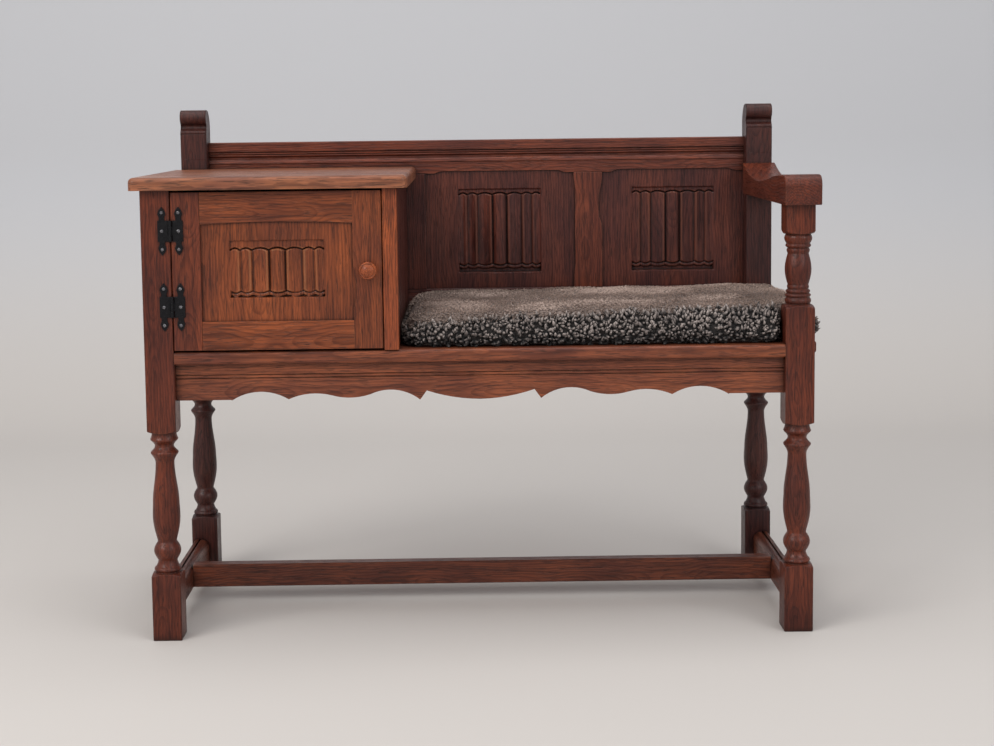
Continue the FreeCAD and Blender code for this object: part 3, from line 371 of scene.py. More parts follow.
def oakMaterial(name, finish, order, middle, seed, pith, spacing, wander=1.0):
    # order names the axes along the grain, across the face and into the board
    (mean, wornAndHighlight, rub, rough), look = oakFinishes[finish], oakLook
    mean, wornAndHighlight = paint(*mean), paint(*wornAndHighlight)
    material, tree, shader, where = newMaterial(name)
    local = vectorCalc("SUBTRACT", where, middle)[0]
    axes = dict(zip("xyz", splitAxes(local)))
    place = joinAxes(*(axes[letter] for letter in order))
    grain = placeGroup(tree, oakGrain, Place=place, PithSide=pith[0], PithDepth=pith[1],
                       RingSpacing=spacing, Wander=wander, Seed=seed)
    edges = placeGroup(tree, edgeWear, Place=where)
    hollowShade = placeGroup(tree, hollowShadeMask, Place=where)
    # carved pieces carry how far each point is sunk, below zero, or proud, above zero; sunk places get painted
    # shade and proud places a painted highlight in the rubbed colour
    carve = attributeOf(tree, "carve")
    figure = plus(times(grain["Rings"], look["rings"]), times(grain["Streaks"], look["streaks"]))
    colour = mixColours(figure, shade(mean, *look["early"]), shade(mean, *look["late"]))
    # the stain took unevenly, orange where it is thin and plum where it pooled
    tint = mixColours(grain["Blotches"], look["thin"], look["pooled"])
    colour = mixColours(1.0, colour, tint, "MULTIPLY")
    for amount, over in (
        (times(grain["Pores"], look["pores"]), shade(mean, look["poreShade"])),
        (times(edges["Mask"], rub), wornAndHighlight),
        # painted shade in corners and hollows, with dark wax
        (times(hollowShade["Mask"], look["hollowShade"]), shade(mean, look["hollowShadeDarkness"])),
        # painted shade in the carving's hollows
        (ramp(carve, *look["sunk"]), shade(mean, look["sunkShade"])),
        # painted highlight on the carving's proud places
        (ramp(carve, *look["proudHighlight"]), wornAndHighlight),
    ):
        colour = mixColours(amount, colour, over)
    feed(shader.inputs["Base Color"], colour)
    base = plus(times(grain["Blotches"], look["blotchRough"]), rough - look["polish"])
    feed(shader.inputs["Roughness"], plus(times(grain["Pores"], look["poreRough"]), base))
    relief = less(times(grain["Rings"], look["ringRelief"]), grain["Pores"])
    relief = plus(relief, times(grain["Blotches"], look["blotchRelief"]))
    addBump(shader, *look["bump"], relief, edges["Normal"])
    setInputs(shader, look["shader"])
    return material


def centreOf(node):
    low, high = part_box(node)
    return (low + high) / 2


def dress(obj, material):
    obj.data.materials.clear()
    obj.data.materials.append(material)


# each oak piece that keeps its CAD shape: finish, grain order, pith side and depth, ring spacing
oakPieces = {
    "armrest": ("post", "yxz", (0.0, 0.05), 0.0045),
    "back_bottom_rail": ("back", "xzy", (0.05, 0.03), 0.004),
    "back_centre_muntin": ("backRail", "zxy", (0.01, 0.035), 0.0045),
    "back_left_muntin": ("back", "zxy", (0.05, 0.03), 0.004),
    "back_top_rail": ("backRail", "xzy", (0.04, 0.03), 0.0045),
    "cabinet_back_panel": ("back", "xzy", (0.0, 0.04), 0.006),
    "cabinet_front_stile": ("lightDoor", "zxy", (0.05, 0.03), 0.0035),
    "cabinet_left_side": ("plain", "zyx", (0.0, 0.04), 0.005),
    # painted shade: the cupboard's right side takes the darker back finish, for the side turned from the light
    "cabinet_right_side": ("back", "zyx", (0.0, 0.06), 0.005),
    "cabinet_top": ("top", "xyz", (0.04, 0.05), 0.006),
    "centre_stretcher": ("stretcher", "xzy", (0.02, 0.03), 0.004),
    "door_bottom_rail": ("door", "xzy", (0.012, 0.03), 0.005),
    "door_hinge_stile": ("doorStile", "zxy", (-0.004, 0.028), 0.0045),
    "door_lock_stile": ("door", "zxy", (0.035, 0.03), 0.004),
    "door_top_rail": ("door", "xzy", (0.008, 0.022), 0.0042),
    "front_rail": ("apron", "xzy", (0.02, 0.03), 0.0045),
    "left_seat_rail": ("plain", "yzx", (0.02, 0.04), 0.005),
    "left_stretcher": ("stretcher", "yzx", (0.02, 0.03), 0.004),
    "rear_seat_rail": ("plain", "xzy", (0.02, 0.04), 0.005),
    "right_seat_rail": ("plain", "yzx", (0.02, 0.04), 0.005),
    "right_stretcher": ("stretcher", "yzx", (0.02, 0.03), 0.004),
    "seat_board": ("apron", "xyz", (0.03, 0.05), 0.005),
    "seat_corner_blocks": ("plain", "xyz", (0.02, 0.03), 0.005),
}

for seed, (node, (finish, order, pith, spacing)) in enumerate(sorted(oakPieces.items()), 1):
    dress(nodes[node], oakMaterial("oak_" + node, finish, order, centreOf(node), seed, pith, spacing))
print("oak finished:", len(oakPieces), "pieces")


# mesh helpers
def newPiece(name, vertices, faces, material, body, sharpAbove=35.0):
    mesh = bpy.data.meshes.new(name)
    mesh.from_pydata([tuple(v) for v in vertices], [], faces)
    mesh.validate()
    work = bmesh.new()
    work.from_mesh(mesh)
    bmesh.ops.recalc_face_normals(work, faces=work.faces)
    limit = math.radians(sharpAbove)
    for face in work.faces:
        face.smooth = True
    for edge in work.edges:
        edge.smooth = not edge.is_manifold or edge.calc_face_angle(0.0) < limit
    work.to_mesh(mesh)
    work.free()
    piece = addObject(name, mesh)
    mesh.materials.append(material)
    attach(piece, body)
    return piece


def setValues(mesh, name, values):
    layer = mesh.attributes.new(name, "FLOAT", "POINT")
    layer.data.foreach_set("value", values)


def ease(shape, t):
    # how far a turner's curve has come after a share t of its length
    if shape == "round":
        return math.sin(t * math.pi / 2)
    if shape == "hollow":
        return 1 - math.cos(t * math.pi / 2)
    if shape == "swell":
        return (1 - math.cos(t * math.pi)) / 2
    return t


unturned = 99.0  # mm, beyond every corner of a post


def radiusAt(profile, z):
    for (z0, r0, _), (z1, r1, shape) in zip(profile, profile[1:]):
        if z0 <= z <= z1:
            return r0 + (r1 - r0) * ease(shape, (z - z0) / (z1 - z0))
    return unturned


# posts
postSettings = {
    "size": 48.0,  # mm
    "arris": 1.5,
    "shoulder": 7.0,
    "step": 1.7,  # height of one row of faces in the turned parts
    "facets": 16,  # on each side, and of the rows at a shoulder
    "soleHeight": 1.2, "soleShare": 0.97,  # the sole's worn edge
    "grain": ((0.006, 0.03), 0.0048, 1.3),  # pith, ring spacing and wander
    "legProfile": [  # height, radius, and the curve that leads there from the point below
        (107.0, 34.0, ""), (112.6, 24.2, "hollow"), (113.4, 20.6, "line"), (114.4, 20.4, "line"),
        (118.2, 22.6, "round"), (121.6, 21.0, "hollow"), (122.6, 19.4, "line"), (133.6, 15.8, "round"),
        (149.5, 22.3, "round"), (164.6, 15.8, "hollow"), (167.0, 15.8, "line"), (208.0, 22.7, "round"),
        (228.0, 21.9, "hollow"), (298.0, 15.5, "swell"), (312.4, 22.0, "hollow"), (314.6, 22.9, "round"),
        (316.8, 22.0, "hollow"), (326.0, 15.6, "round"), (335.4, 22.0, "hollow"), (337.6, 22.9, "round"),
        (339.8, 22.0, "hollow"), (348.4, 20.2, "round"), (349.2, 24.2, "line"), (355.0, 34.0, "round"),
    ],
    "supportProfile": [
        (541.0, 34.0, ""), (547.0, 24.2, "hollow"), (549.4, 19.6, "line"), (554.5, 21.6, "round"),
        (560.4, 18.9, "hollow"), (563.6, 21.3, "round"), (566.8, 18.2, "hollow"), (570.6, 20.0, "round"),
        (573.8, 16.9, "hollow"), (577.3, 18.0, "round"), (581.0, 17.0, "hollow"), (606.5, 21.8, "round"),
        (632.6, 17.2, "hollow"), (638.4, 18.9, "round"), (641.6, 17.3, "hollow"), (645.6, 21.0, "round"),
        (648.8, 19.2, "hollow"), (658.0, 22.8, "round"), (664.4, 20.4, "hollow"), (665.4, 24.2, "line"),
        (672.0, 34.0, "round"),
    ],
}


def squareRadius(angle, half, arris):
    # distance from the post's axis to its outside at an angle, with the arrises taken off
    turn = (angle + math.pi / 4) % (math.pi / 2) - math.pi / 4
    corner = (2 * half - arris) / (math.cos(turn) + abs(math.sin(turn)))
    return min(half / math.cos(turn), corner)


def postRings(settings, base, top, profiles):
    half, facets, shoulder = settings["size"] / 2, settings["facets"], settings["shoulder"]
    edge = math.atan2(half - settings["arris"], half)
    angles = [quarter * math.pi / 2 - edge + 2 * edge * k / facets
              for quarter in range(4) for k in range(facets + 1)]
    heights = [base, top]
    for profile in profiles:
        low, high = profile[0][0], profile[-1][0]
        rows = int((high - low) / settings["step"])
        heights += [low + (high - low) * k / rows for k in range(rows + 1)]
        heights += [point[0] for point in profile]
        # rows stand closer where the round meets the square
        for end in (low, high - shoulder):
            heights += [end + shoulder * k / facets for k in range(facets + 1)]
    heights = sorted({round(h, 2) for h in heights if base <= h <= top})
    rings = []
    for z in heights:
        turned = min(radiusAt(profile, z) for profile in profiles)
        ring = []
        for angle in angles:
            r = min(squareRadius(angle, half, settings["arris"]), turned)
            ring.append((r * math.cos(angle), r * math.sin(angle), z))
        rings.append(ring)
    return rings


def ringsToMesh(rings):
    count = len(rings[0])
    vertices = [point for ring in rings for point in ring]
    faces = []
    for row in range(len(rings) - 1):
        for k in range(count):
            a = row * count + k
            b = row * count + (k + 1) % count
            faces.append((a, b, b + count, a + count))
    faces.append(tuple(reversed(range(count))))
    faces.append(tuple(range(len(vertices) - count, len(vertices))))
    return vertices, faces


def arcThrough(start, middle, end, count):
    # points on the circle through three points, without the first
    (x1, y1), (x2, y2), (x3, y3) = start, middle, end
    d = 2 * (x1 * (y2 - y3) + x2 * (y3 - y1) + x3 * (y1 - y2))
    s1, s2, s3 = x1 * x1 + y1 * y1, x2 * x2 + y2 * y2, x3 * x3 + y3 * y3
    cx = (s1 * (y2 - y3) + s2 * (y3 - y1) + s3 * (y1 - y2)) / d
    cy = (s1 * (x3 - x2) + s2 * (x1 - x3) + s3 * (x2 - x1)) / d
    radius = math.hypot(x1 - cx, y1 - cy)
    a1, a2, a3 = [math.atan2(y - cy, x - cx) for x, y in (start, middle, end)]
    turn = math.tau if (a2 - a1) % math.tau < (a3 - a1) % math.tau else 0.0
    sweep = (a3 - a1) % math.tau if turn else -((a1 - a3) % math.tau)
    return [(cx + radius * math.cos(a1 + sweep * k / count), cy + radius * math.sin(a1 + sweep * k / count))
            for k in range(1, count + 1)]


# the rolled top of a rear post, in side view from its front face backwards
finialSettings = {
    "base": 790.0, "top": 881.0, "beadLine": 836.0, "width": 48.0, "arris": 1.3,
    "back": ((41.0, 14.0), (22.0, 0.0)),  # an arc's middle and end: y, and depth under the top
    "crown": (12.5, 0.0),
    "roll": ((-2.5, 15.0), (7.0, 27.0)),
    "throat": (8.5, 29.5),
    "neck": 10.0,
    "bead": [(1.6, 7.0), (0.3, 5.6), (0.0, 4.2), (0.0, 2.0), (1.2, 1.0), (0.0, 0.0)],  # y, and height
    "steps": (10, 14, 5),  # in the back, the roll and the throat
}


def finialOutline(settings):
    base, bead, depth = settings["base"], settings["beadLine"], settings["width"]
    backMiddle, backEnd, crown, rollMiddle, rollEnd, throat = (
        (y, settings["top"] - under)
        for y, under in (*settings["back"], settings["crown"], *settings["roll"], settings["throat"]))
    backSteps, rollSteps, throatSteps = settings["steps"]
    points = [(depth, base), (depth, bead + 2)]
    points += arcThrough(points[-1], backMiddle, backEnd, backSteps) + [crown]
    points += arcThrough(crown, rollMiddle, rollEnd, rollSteps)
    points += arcThrough(rollEnd, throat, (rollEnd[0], bead + settings["neck"]), throatSteps)
    return points + [(y, bead + over) for y, over in settings["bead"]] + [(0.0, base)]


def finialMesh(settings):
    outline = finialOutline(settings)
    half = settings["width"] / 2
    work = bmesh.new()
    left, right = ([work.verts.new((x, y - half, z)) for y, z in outline] for x in (-half, half))
    work.faces.new(left)
    work.faces.new(list(reversed(right)))
    for k in range(len(outline)):
        j = (k + 1) % len(outline)
        work.faces.new((left[j], left[k], right[k], right[j]))
    rims = [edge for edge in work.edges
            if len({v.co.x for v in edge.verts}) == 1
            and max(v.co.z for v in edge.verts) > settings["base"]]
    bmesh.ops.bevel(work, geom=rims, offset=settings["arris"], segments=2, affect="EDGES")
    vertices = [tuple(v.co) for v in work.verts]
    work.verts.index_update()
    faces = [tuple(v.index for v in face.verts) for face in work.faces]
    work.free()
    return vertices, faces


def makePost(name, node, x, y, top, profiles, finish, seed, finial):
    rings = postRings(postSettings, 0.0, top, profiles)
    # the sole's edge is worn round
    first, share = rings[0], postSettings["soleShare"]
    rings[0] = [(px * share, py * share, 0.0) for px, py, _ in first]
    rings.insert(1, [(px, py, postSettings["soleHeight"]) for px, py, _ in first])
    vertices, faces = ringsToMesh(rings)
    if finial:
        more, moreFaces = finialMesh(finial)
        offset = len(vertices)
        vertices += more
        faces += [tuple(i + offset for i in face) for face in moreFaces]
    placed = [fromBench(px + x, py + y, pz) for px, py, pz in vertices]
    middle = fromBench(x, y, top / 2)
    material = oakMaterial("oak_" + name, finish, "zxy", middle, seed, *postSettings["grain"])
    piece = newPiece(name, placed, faces, material, "settle", 40.0)
    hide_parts(node)


leg, support = postSettings["legProfile"], postSettings["supportProfile"]
for name, x, y, top, profiles, finish, seed, finial in (
    ("front_left", 24.0, 24.0, 750.0, [leg], "post", 41, None),
    ("front_right", 1076.0, 24.0, 714.0, [leg, support], "post", 47, None),
    ("rear_left", 24.0, 424.0, 790.0, [leg], "rearPost", 53, finialSettings),
    ("rear_right", 1076.0, 424.0, 790.0, [leg], "rearPost", 59, finialSettings),
):
    makePost("turned_post_" + name, name + "_post", x, y, top, profiles, finish, seed, finial)
print("turned posts made")


# linenfold panels, carved in relief
foldSettings = {
    # distance from the middle, and height over the sunk ground, mm
    "section": [(0.0, 5.4), (7.0, 5.0), (12.5, 2.4), (13.8, 0.8), (14.8, 4.6), (17.0, 5.3), (20.0, 4.2),
                (30.0, 2.1), (41.0, 1.6), (42.6, 4.4), (44.8, 5.0), (47.5, 3.9), (53.0, 2.1), (60.0, 1.6),
                (61.6, 3.8), (63.8, 4.4), (69.0, 3.2), (78.0, 4.4)],
    "rounding": (-0.8, -0.4, 0.0, 0.4, 0.8),  # places whose mean makes one point of the section
    "half": 77.0,
    "depth": 7.2,
    "headDepth": 2.6,  # of the ground over the pleats
    "scale": 1.35,  # relief of the pleats against the drawn section
    "pleats": (0.0, 14.5, 42.0, 61.0, 77.0),  # where one pleat's end meets the next
    "bow": 3.4,  # of a pleat's end
    "wobble": 0.7, "wobbleSize": 17.0,
    "tool": 0.16, "toolSize": (3.1, 9.0),  # marks of the gouge
    "fine": 1.1, "coarse": 12.0, "margin": 3.0,  # the mesh inside and outside the carving
    "around": ((-3, 0), (3, 0), (0, -3), (0, 3), (-5, 0), (5, 0), (-2, -2), (2, 2)),  # mesh points
    "fullCarve": 1.4,  # mm below or above its surroundings
    "ringSpacing": 0.0048,
}
backPanel = {"ground": (570.0, 727.0), "folds": (587.0, 716.0),
             "body": "settle", "slot": "oak_back", "finish": "back"}
carvedPanels = {
    "carved_door_panel": {
        "node": "door_panel", "middle": 220.5, "ground": (573.0, 666.0), "folds": (584.0, 650.0),
        "body": "door", "slot": "oak_door", "finish": "door", "pith": (0.03, 0.045), "seed": 71},
    "carved_back_panel_left": {
        **backPanel, "node": "left_linenfold_panel", "middle": 591.75, "pith": (0.04, 0.05), "seed": 72},
    "carved_back_panel_right": {
        **backPanel, "node": "right_linenfold_panel", "middle": 918.25, "pith": (0.0, 0.05), "seed": 73},
}


def noiseAt(x, y, z):
    return noise.noise(Vector((x, y, z)))


def step(value, low, high):
    t = min(max((value - low) / (high - low), 0.0), 1.0)
    return t * t * (3 - 2 * t)


def foldHeight(across):
    # the pleats' section, with its tops and valleys a little rounded by the gouge
    total = 0.0
    for shift in foldSettings["rounding"]:
        side = abs(across + shift)
        for (a, h), (b, k) in zip(foldSettings["section"], foldSettings["section"][1:]):
            if a <= side <= b:
                total += h + (k - h) * (side - a) / (b - a)
    return total / len(foldSettings["rounding"])


def foldEnd(across):
    # how far each pleat's end bows out beyond the straight line
    side, bow = abs(across), foldSettings["bow"]
    for a, b in zip(foldSettings["pleats"], foldSettings["pleats"][1:]):
        if a <= side <= b:
            if a:
                return bow * math.sin(math.pi * (side - a) / (b - a))
            return bow * math.cos(math.pi * side / (2 * b))
    return 0.0


def carvedDepth(x, z, panel):
    # how deep the face lies below the panel's flat at a point
    across = x - panel["middle"]
    low, high = panel["ground"]
    half, depth = foldSettings["half"], foldSettings["depth"]
    size = foldSettings["wobbleSize"]
    wobble = foldSettings["wobble"] * noiseAt(x / size, z / size, panel["seed"])
    sunk = (step(half - abs(across) + wobble, -1.0, 1.0) * step(z - low + wobble, -1.0, 1.2)
            * step(high - z + wobble, -1.0, 1.2))
    rise = foldHeight(across) * foldSettings["scale"]
    bottom, top = panel["folds"]
    end = foldEnd(across)
    body = (step(z, bottom - end - 0.6, bottom - end + 1.2)
            * step(-z, -(top + end + 0.5), -(top + end - 1.6)))
    # a second, lower layer of cloth curls under the pleats at both ends
    under = (step(z, bottom - 8.5 - 0.8 * end, bottom - 7.0 - 0.8 * end)
             * step(-z, -(top + 7.5 + end), -(top + 5.5 + end)))
    gap = (step(z, bottom - end - 2.6, bottom - end - 1.2)
           * (1 - step(z, bottom - end - 1.0, bottom - end - 0.2)))
    lower = under * (0.35 * rise + 1.4) * (1 - body) - 1.8 * gap
    if z > top:
        depth += (foldSettings["headDepth"] - depth) * step(z, top + end + 0.2, top + end + 2.0)
        lower = 0.0
    width, length = foldSettings["toolSize"]
    tool = foldSettings["tool"] * noiseAt(x / width, z / length, 5.0)
    return sunk * (depth - rise * body - lower + tool)


def spread(low, high, first, last, fine, coarse):
    # grid lines, close together between first and last
    lines = []
    for a, b, gap in ((low, first, coarse), (first, last, fine), (last, high, coarse)):
        count = max(1, math.ceil((b - a) / gap))
        lines += [a + (b - a) * k / count for k in range(count)]
    return lines + [high]


def makeCarvedPanel(name, panel):
    low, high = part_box(panel["node"])
    x0, x1 = (v * 1000 + benchOrigin[0] for v in (low.x, high.x))
    face, back = (v * 1000 + benchOrigin[1] for v in (low.y, high.y))
    z0, z1 = low.z * 1000, high.z * 1000
    half, margin = foldSettings["half"], foldSettings["margin"]
    gaps = foldSettings["fine"], foldSettings["coarse"]
    middle, (bottom, top) = panel["middle"], panel["ground"]
    columns = spread(x0, x1, middle - half - margin, middle + half + margin, *gaps)
    rows = spread(z0, z1, bottom - margin, top + margin, *gaps)
    depths = [[carvedDepth(x, z, panel) for x in columns] for z in rows]
    vertices = [fromBench(x, face + depth, z)
                for z, row in zip(rows, depths) for x, depth in zip(columns, row)]
    nx, nz = len(columns), len(rows)
    faces = [(j * nx + i, j * nx + i + 1, (j + 1) * nx + i + 1, (j + 1) * nx + i)
             for j in range(nz - 1) for i in range(nx - 1)]
    rim = list(range(nx)) + [j * nx + nx - 1 for j in range(1, nz)]
    rim += [(nz - 1) * nx + i for i in range(nx - 2, -1, -1)] + [j * nx for j in range(nz - 2, 0, -1)]
    first = len(vertices)
    for index in rim:
        point = vertices[index].copy()
        point.y = fromBench(0, back, 0).y
        vertices.append(point)
    for k in range(len(rim)):
        j = (k + 1) % len(rim)
        faces.append((rim[j], rim[k], first + k, first + j))
    faces.append(tuple(range(first, first + len(rim))))
    # sunk and proud places, against the mean of the ground around them, for the carving's painted shade and
    # painted highlight
    carve = []
    for j in range(nz):
        for i in range(nx):
            around = [depths[min(max(j + b, 0), nz - 1)][min(max(i + a, 0), nx - 1)]
                      for a, b in foldSettings["around"]]
            deeper = depths[j][i] - sum(around) / len(around)
            within = abs(columns[i] - middle) < half - 1 and bottom < rows[j] < top
            carve.append(-deeper / foldSettings["fullCarve"] * within)
    material = oakMaterial("oak_" + name, panel["finish"], "zxy", centreOf(panel["node"]), panel["seed"],
                           panel["pith"], foldSettings["ringSpacing"])
    piece = newPiece(name, vertices, faces, material, panel["body"], 50.0)
    setValues(piece.data, "carve", carve + [0.0] * len(rim))
    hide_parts(panel["node"])


for name, panel in carvedPanels.items():
    makeCarvedPanel(name, panel)
print("panels carved")


# knob on the door
knobSettings = {
    "place": (369.0, 0.0, 616.0),  # x, the door's face and the height, mm on the bench
    "profile": [(0.0, 9.6), (1.2, 9.2), (4.5, 8.0), (8.0, 8.6), (11.0, 11.6), (13.2, 13.8), (15.6, 14.6),
                (18.0, 14.2), (19.4, 13.0), (19.7, 12.0), (19.0, 11.3), (18.9, 10.8), (19.8, 9.8), (21.6, 7.0),
                (22.7, 3.6), (23.0, 0.02)],  # distance from the door, and radius
    "around": 64,
    "between": 5,
    "grain": ((0.02, 0.02), 0.003, 0.6),  # pith, ring spacing and wander
}


def curveThrough(points, between):
    # more points on a smooth line through those given
    line = []
    for k in range(len(points) - 1):
        a, b, c, d = (points[min(max(i, 0), len(points) - 1)] for i in (k - 1, k, k + 1, k + 2))
        for n in range(between):
            t = n / between
            line.append(tuple(0.5 * (2 * q + (r - p) * t + (2 * p - 5 * q + 4 * r - s) * t * t
                                     + (3 * q - p - 3 * r + s) * t ** 3) for p, q, r, s in zip(a, b, c, d)))
    return line + [points[-1]]


def makeKnob(settings):
    x, y, z = settings["place"]
    angles = [math.tau * k / settings["around"] for k in range(settings["around"])]
    rings = [[fromBench(x + r * math.cos(a), y - h, z + r * math.sin(a)) for a in angles]
             for h, r in curveThrough(settings["profile"], settings["between"])]
    points, faces = ringsToMesh(rings)
    material = oakMaterial("oak_turned_knob", "lightDoor", "yxz", fromBench(x, y, z), 66,
                           *settings["grain"])
    piece = newPiece("turned_knob", points, faces, material, "door", 70.0)
    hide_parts("door_knob")


makeKnob(knobSettings)
print("knob turned")


# iron, plastic and steel fittings
fittingFinishes = {  # colour, rubbed colour, how metallic, roughness, how far the edges are rubbed
    "black_iron": ((9, 8, 11), (44, 42, 48), 0.0, 0.36, 0.3),
    "nail_iron": ((96, 94, 98), (210, 208, 208), 0.6, 0.28, 0.8),
    "catch_plastic": ((96, 60, 40), (120, 84, 60), 0.0, 0.5, 0.3),
    "strike_steel": ((160, 160, 162), (200, 200, 200), 1.0, 0.3, 0.4),
}
fittingLook = {
    "wearSpread": 0.0016,  # metres
    "hammer": (240.0, 3.0, 0.6),
    "speckle": (900.0, 2.0, 0.7), "speckleRange": (0.45, 0.7), "speckleShade": 1.7, "speckleRelief": 0.25,
    "smoother": -0.1, "rougher": 0.14,
    "bump": (0.5, 0.0004),
    "specular": 0.22,
}


def fittingMaterial(name, colour, bright, metal, rough, rubbed):
    look = fittingLook
    material, tree, shader, where = newMaterial(name)
    edges = placeGroup(tree, edgeWear, Place=where, Spread=look["wearSpread"])
    hammered = noiseOf(where, *look["hammer"])
    speckle = ramp(noiseOf(where, *look["speckle"]), *look["speckleRange"])
    base = mixColours(speckle, paint(*colour), shade(paint(*colour), look["speckleShade"]))
    rub = times(edges["Mask"], rubbed)
    feed(shader.inputs["Base Color"], mixColours(rub, base, paint(*bright)))
    low, high = rough + look["smoother"], rough + look["rougher"]
    feed(shader.inputs["Roughness"], ramp(hammered, 0.3, 0.7, low, high))
    relief = plus(hammered, times(speckle, look["speckleRelief"]))
    addBump(shader, *look["bump"], relief, edges["Normal"])
    setInputs(shader, {"Metallic": metal, "Specular IOR Level": look["specular"]})
    return material


fittings = {name: fittingMaterial(name, *finish) for name, finish in fittingFinishes.items()}
for node, finish in {
    "post_hinge_leaves": "black_iron", "door_hinge_leaves": "black_iron", "hinge_pins": "black_iron",
    "post_hinge_nails": "nail_iron", "door_hinge_nails": "nail_iron", "door_catch": "catch_plastic",
    "door_strike_plate": "strike_steel",
}.items():
    dress(nodes[node], fittings[finish])
print("fittings finished")


# sheepskin seat pad
padSettings = {
    "left": 420.5, "right": 1116.0, "front": 19.0, "back": 396.5,  # mm on the bench
    "bottom": 484.6, "top": 534.0,  # at the front left
    "riseRight": 7.0, "riseBack": 4.0,
    "rolls": ((2.4, 95, 120, 4.0), (1.6, 38, 46, 9.0)),  # height, size in x and y, and seed
    "grid": (120, 66),
    "core": 20.0,  # height of the rim's outermost line over the bottom
    "corner": 46.0,  # radius in plan
    "rim": 24.0,  # how far in from its edge the top comes level
    "notch": (1049.0, 51.5),  # clear of the front right post
    "voxel": 0.006,  # metres
    "pressure": 3.5, "quality": 5, "frames": 16,
    "cap": 0.004,  # metres a point may swell
    "soften": 0.5, "softenRounds": 4,
    # faces of the cupboard, the front post and the rear post, which the wool keeps off
    "wall": 418.6, "post": (1050.8, 49.2), "rearPost": (1051.0, 399.5),
    "woolFrom": 488.5,  # height of the lowest locks
}


def padHeight(x, y, settings):
    # the skin lies in soft rolls, higher towards the right and the back
    across = (x - settings["left"]) / (settings["right"] - settings["left"])
    deep = (y - settings["front"]) / (settings["back"] - settings["front"])
    roll = sum(height * noiseAt(x / sizeX, y / sizeY, seed)
               for height, sizeX, sizeY, seed in settings["rolls"])
    return settings["top"] + settings["riseRight"] * across + settings["riseBack"] * deep + roll


def padCore(settings):
    # a slab with a rolled rim, its top and sole laid out as grids and joined round the edge
    left, right = settings["left"], settings["right"]
    front, back = settings["front"], settings["back"]
    nx, ny = settings["grid"]
    core = settings["core"]
    middle = settings["bottom"] + core
    work = bmesh.new()

    def inside(x, y):
        r = settings["corner"]
        dx = max(left + r - x, x - (right - r), 0.0)
        dy = max(front + r - y, y - (back - r), 0.0)
        return r - math.hypot(dx, dy)

    verts = {}
    for level in (0, 1):
        for i in range(nx + 1):
            for j in range(ny + 1):
                x = left + (right - left) * i / nx
                y = front + (back - front) * j / ny
                if inside(x, y) < -0.5 or (x > settings["notch"][0] and y < settings["notch"][1]):
                    continue
                reach = min(max(inside(x, y), 0.0) / settings["rim"], 1.0)
                bulge = math.sqrt(max(0.0, 1.0 - (1.0 - reach) ** 2))
                if level:
                    rise = (padHeight(x, y, settings) - middle) * bulge
                else:
                    rise = -core * min(1.0, bulge * 1.25)
                verts[level, i, j] = work.verts.new(fromBench(x, y, middle + rise))
    for level in (0, 1):
        for i in range(nx):
            for j in range(ny):
                keys = [(level, i, j), (level, i + 1, j), (level, i + 1, j + 1), (level, i, j + 1)]
                if all(key in verts for key in keys):
                    corners = [verts[key] for key in keys]
                    work.faces.new(corners if level else list(reversed(corners)))
    lookup = {v: key for key, v in verts.items()}
    for edge in [edge for edge in work.edges if edge.is_boundary]:
        a, b = (lookup[v] for v in edge.verts)
        if a[0] == 1 and (0,) + a[1:] in verts and (0,) + b[1:] in verts:
            work.faces.new((verts[a], verts[b], verts[(0,) + b[1:]], verts[(0,) + a[1:]]))
    bmesh.ops.delete(work, geom=[v for v in work.verts if not v.link_faces], context="VERTS")
    bmesh.ops.recalc_face_normals(work, faces=work.faces)
    mesh = bpy.data.meshes.new("sheepskin_pad")
    work.to_mesh(mesh)
    work.free()
    return addObject("sheepskin_pad", mesh)


def applyModifiers(obj):
    evaluated = obj.evaluated_get(bpy.context.evaluated_depsgraph_get())
    fresh = bpy.data.meshes.new_from_object(evaluated)
    obj.modifiers.clear()
    obj.data = fresh


def swell(pad, settings):
    remesh = pad.modifiers.new("voxels", "REMESH")
    remesh.mode = "VOXEL"
    remesh.voxel_size = settings["voxel"]
    applyModifiers(pad)
    start = [v.co.copy() for v in pad.data.vertices]
    cloth = pad.modifiers.new("cloth", "CLOTH")
    cloth.settings.use_pressure = True
    cloth.settings.uniform_pressure_force = settings["pressure"]
    cloth.settings.effector_weights.gravity = 0.0
    cloth.settings.quality = settings["quality"]
    scene = bpy.context.scene
    for number in range(1, settings["frames"] + 1):
        scene.frame_set(number)
    applyModifiers(pad)
    scene.frame_set(1)
    for vertex, old in zip(pad.data.vertices, start):
        move = vertex.co - old
        if move.length > settings["cap"]:
            move *= settings["cap"] / move.length
        new = old + move
        new.z = max(new.z, settings["bottom"] / 1000)
        vertex.co = new
    soften = pad.modifiers.new("soften", "SMOOTH")
    soften.factor = settings["soften"]
    soften.iterations = settings["softenRounds"]
    applyModifiers(pad)


# each root colour is the painted shade at the foot of the wool
woolFinishes = {
    "skin": {"pale": (150, 130, 120), "shade": (122, 104, 95), "root": (10, 8, 8)},
    "top": {"pale": (218, 191, 177), "shade": (152, 128, 115), "root": (100, 82, 73)},
    "curls": {"pale": (186, 172, 165), "shade": (74, 63, 60), "root": (7, 5, 6)},
    "rim": {"pale": (150, 130, 120), "shade": (104, 88, 80), "root": (30, 24, 22)},
}


woolLook = {
    # noises: scale, detail, roughness and bend
    "patch": (16.0, 4.0, 0.62, 0.5), "patchRange": (0.36, 0.68), "patchShare": 0.55,
    "single": (210.0, 2.0, 0.6), "singleRange": (0.34, 0.7), "singleShare": 0.35,
    "fibre": (1500.0, 2.0, 0.7), "fibreRange": (0.3, 0.7), "fibreShare": 0.25,
    "fibreShade": 0.55, "fibreRelief": 0.3,
    "tipRange": (0.2, 0.85),
    "gapReach": 0.009,  # metres
    "rough": (0.6, 0.9),
    "bump": (0.6, 0.0012),
    "shader": {"Sheen Weight": 0.08, "Sheen Roughness": 0.5},
}


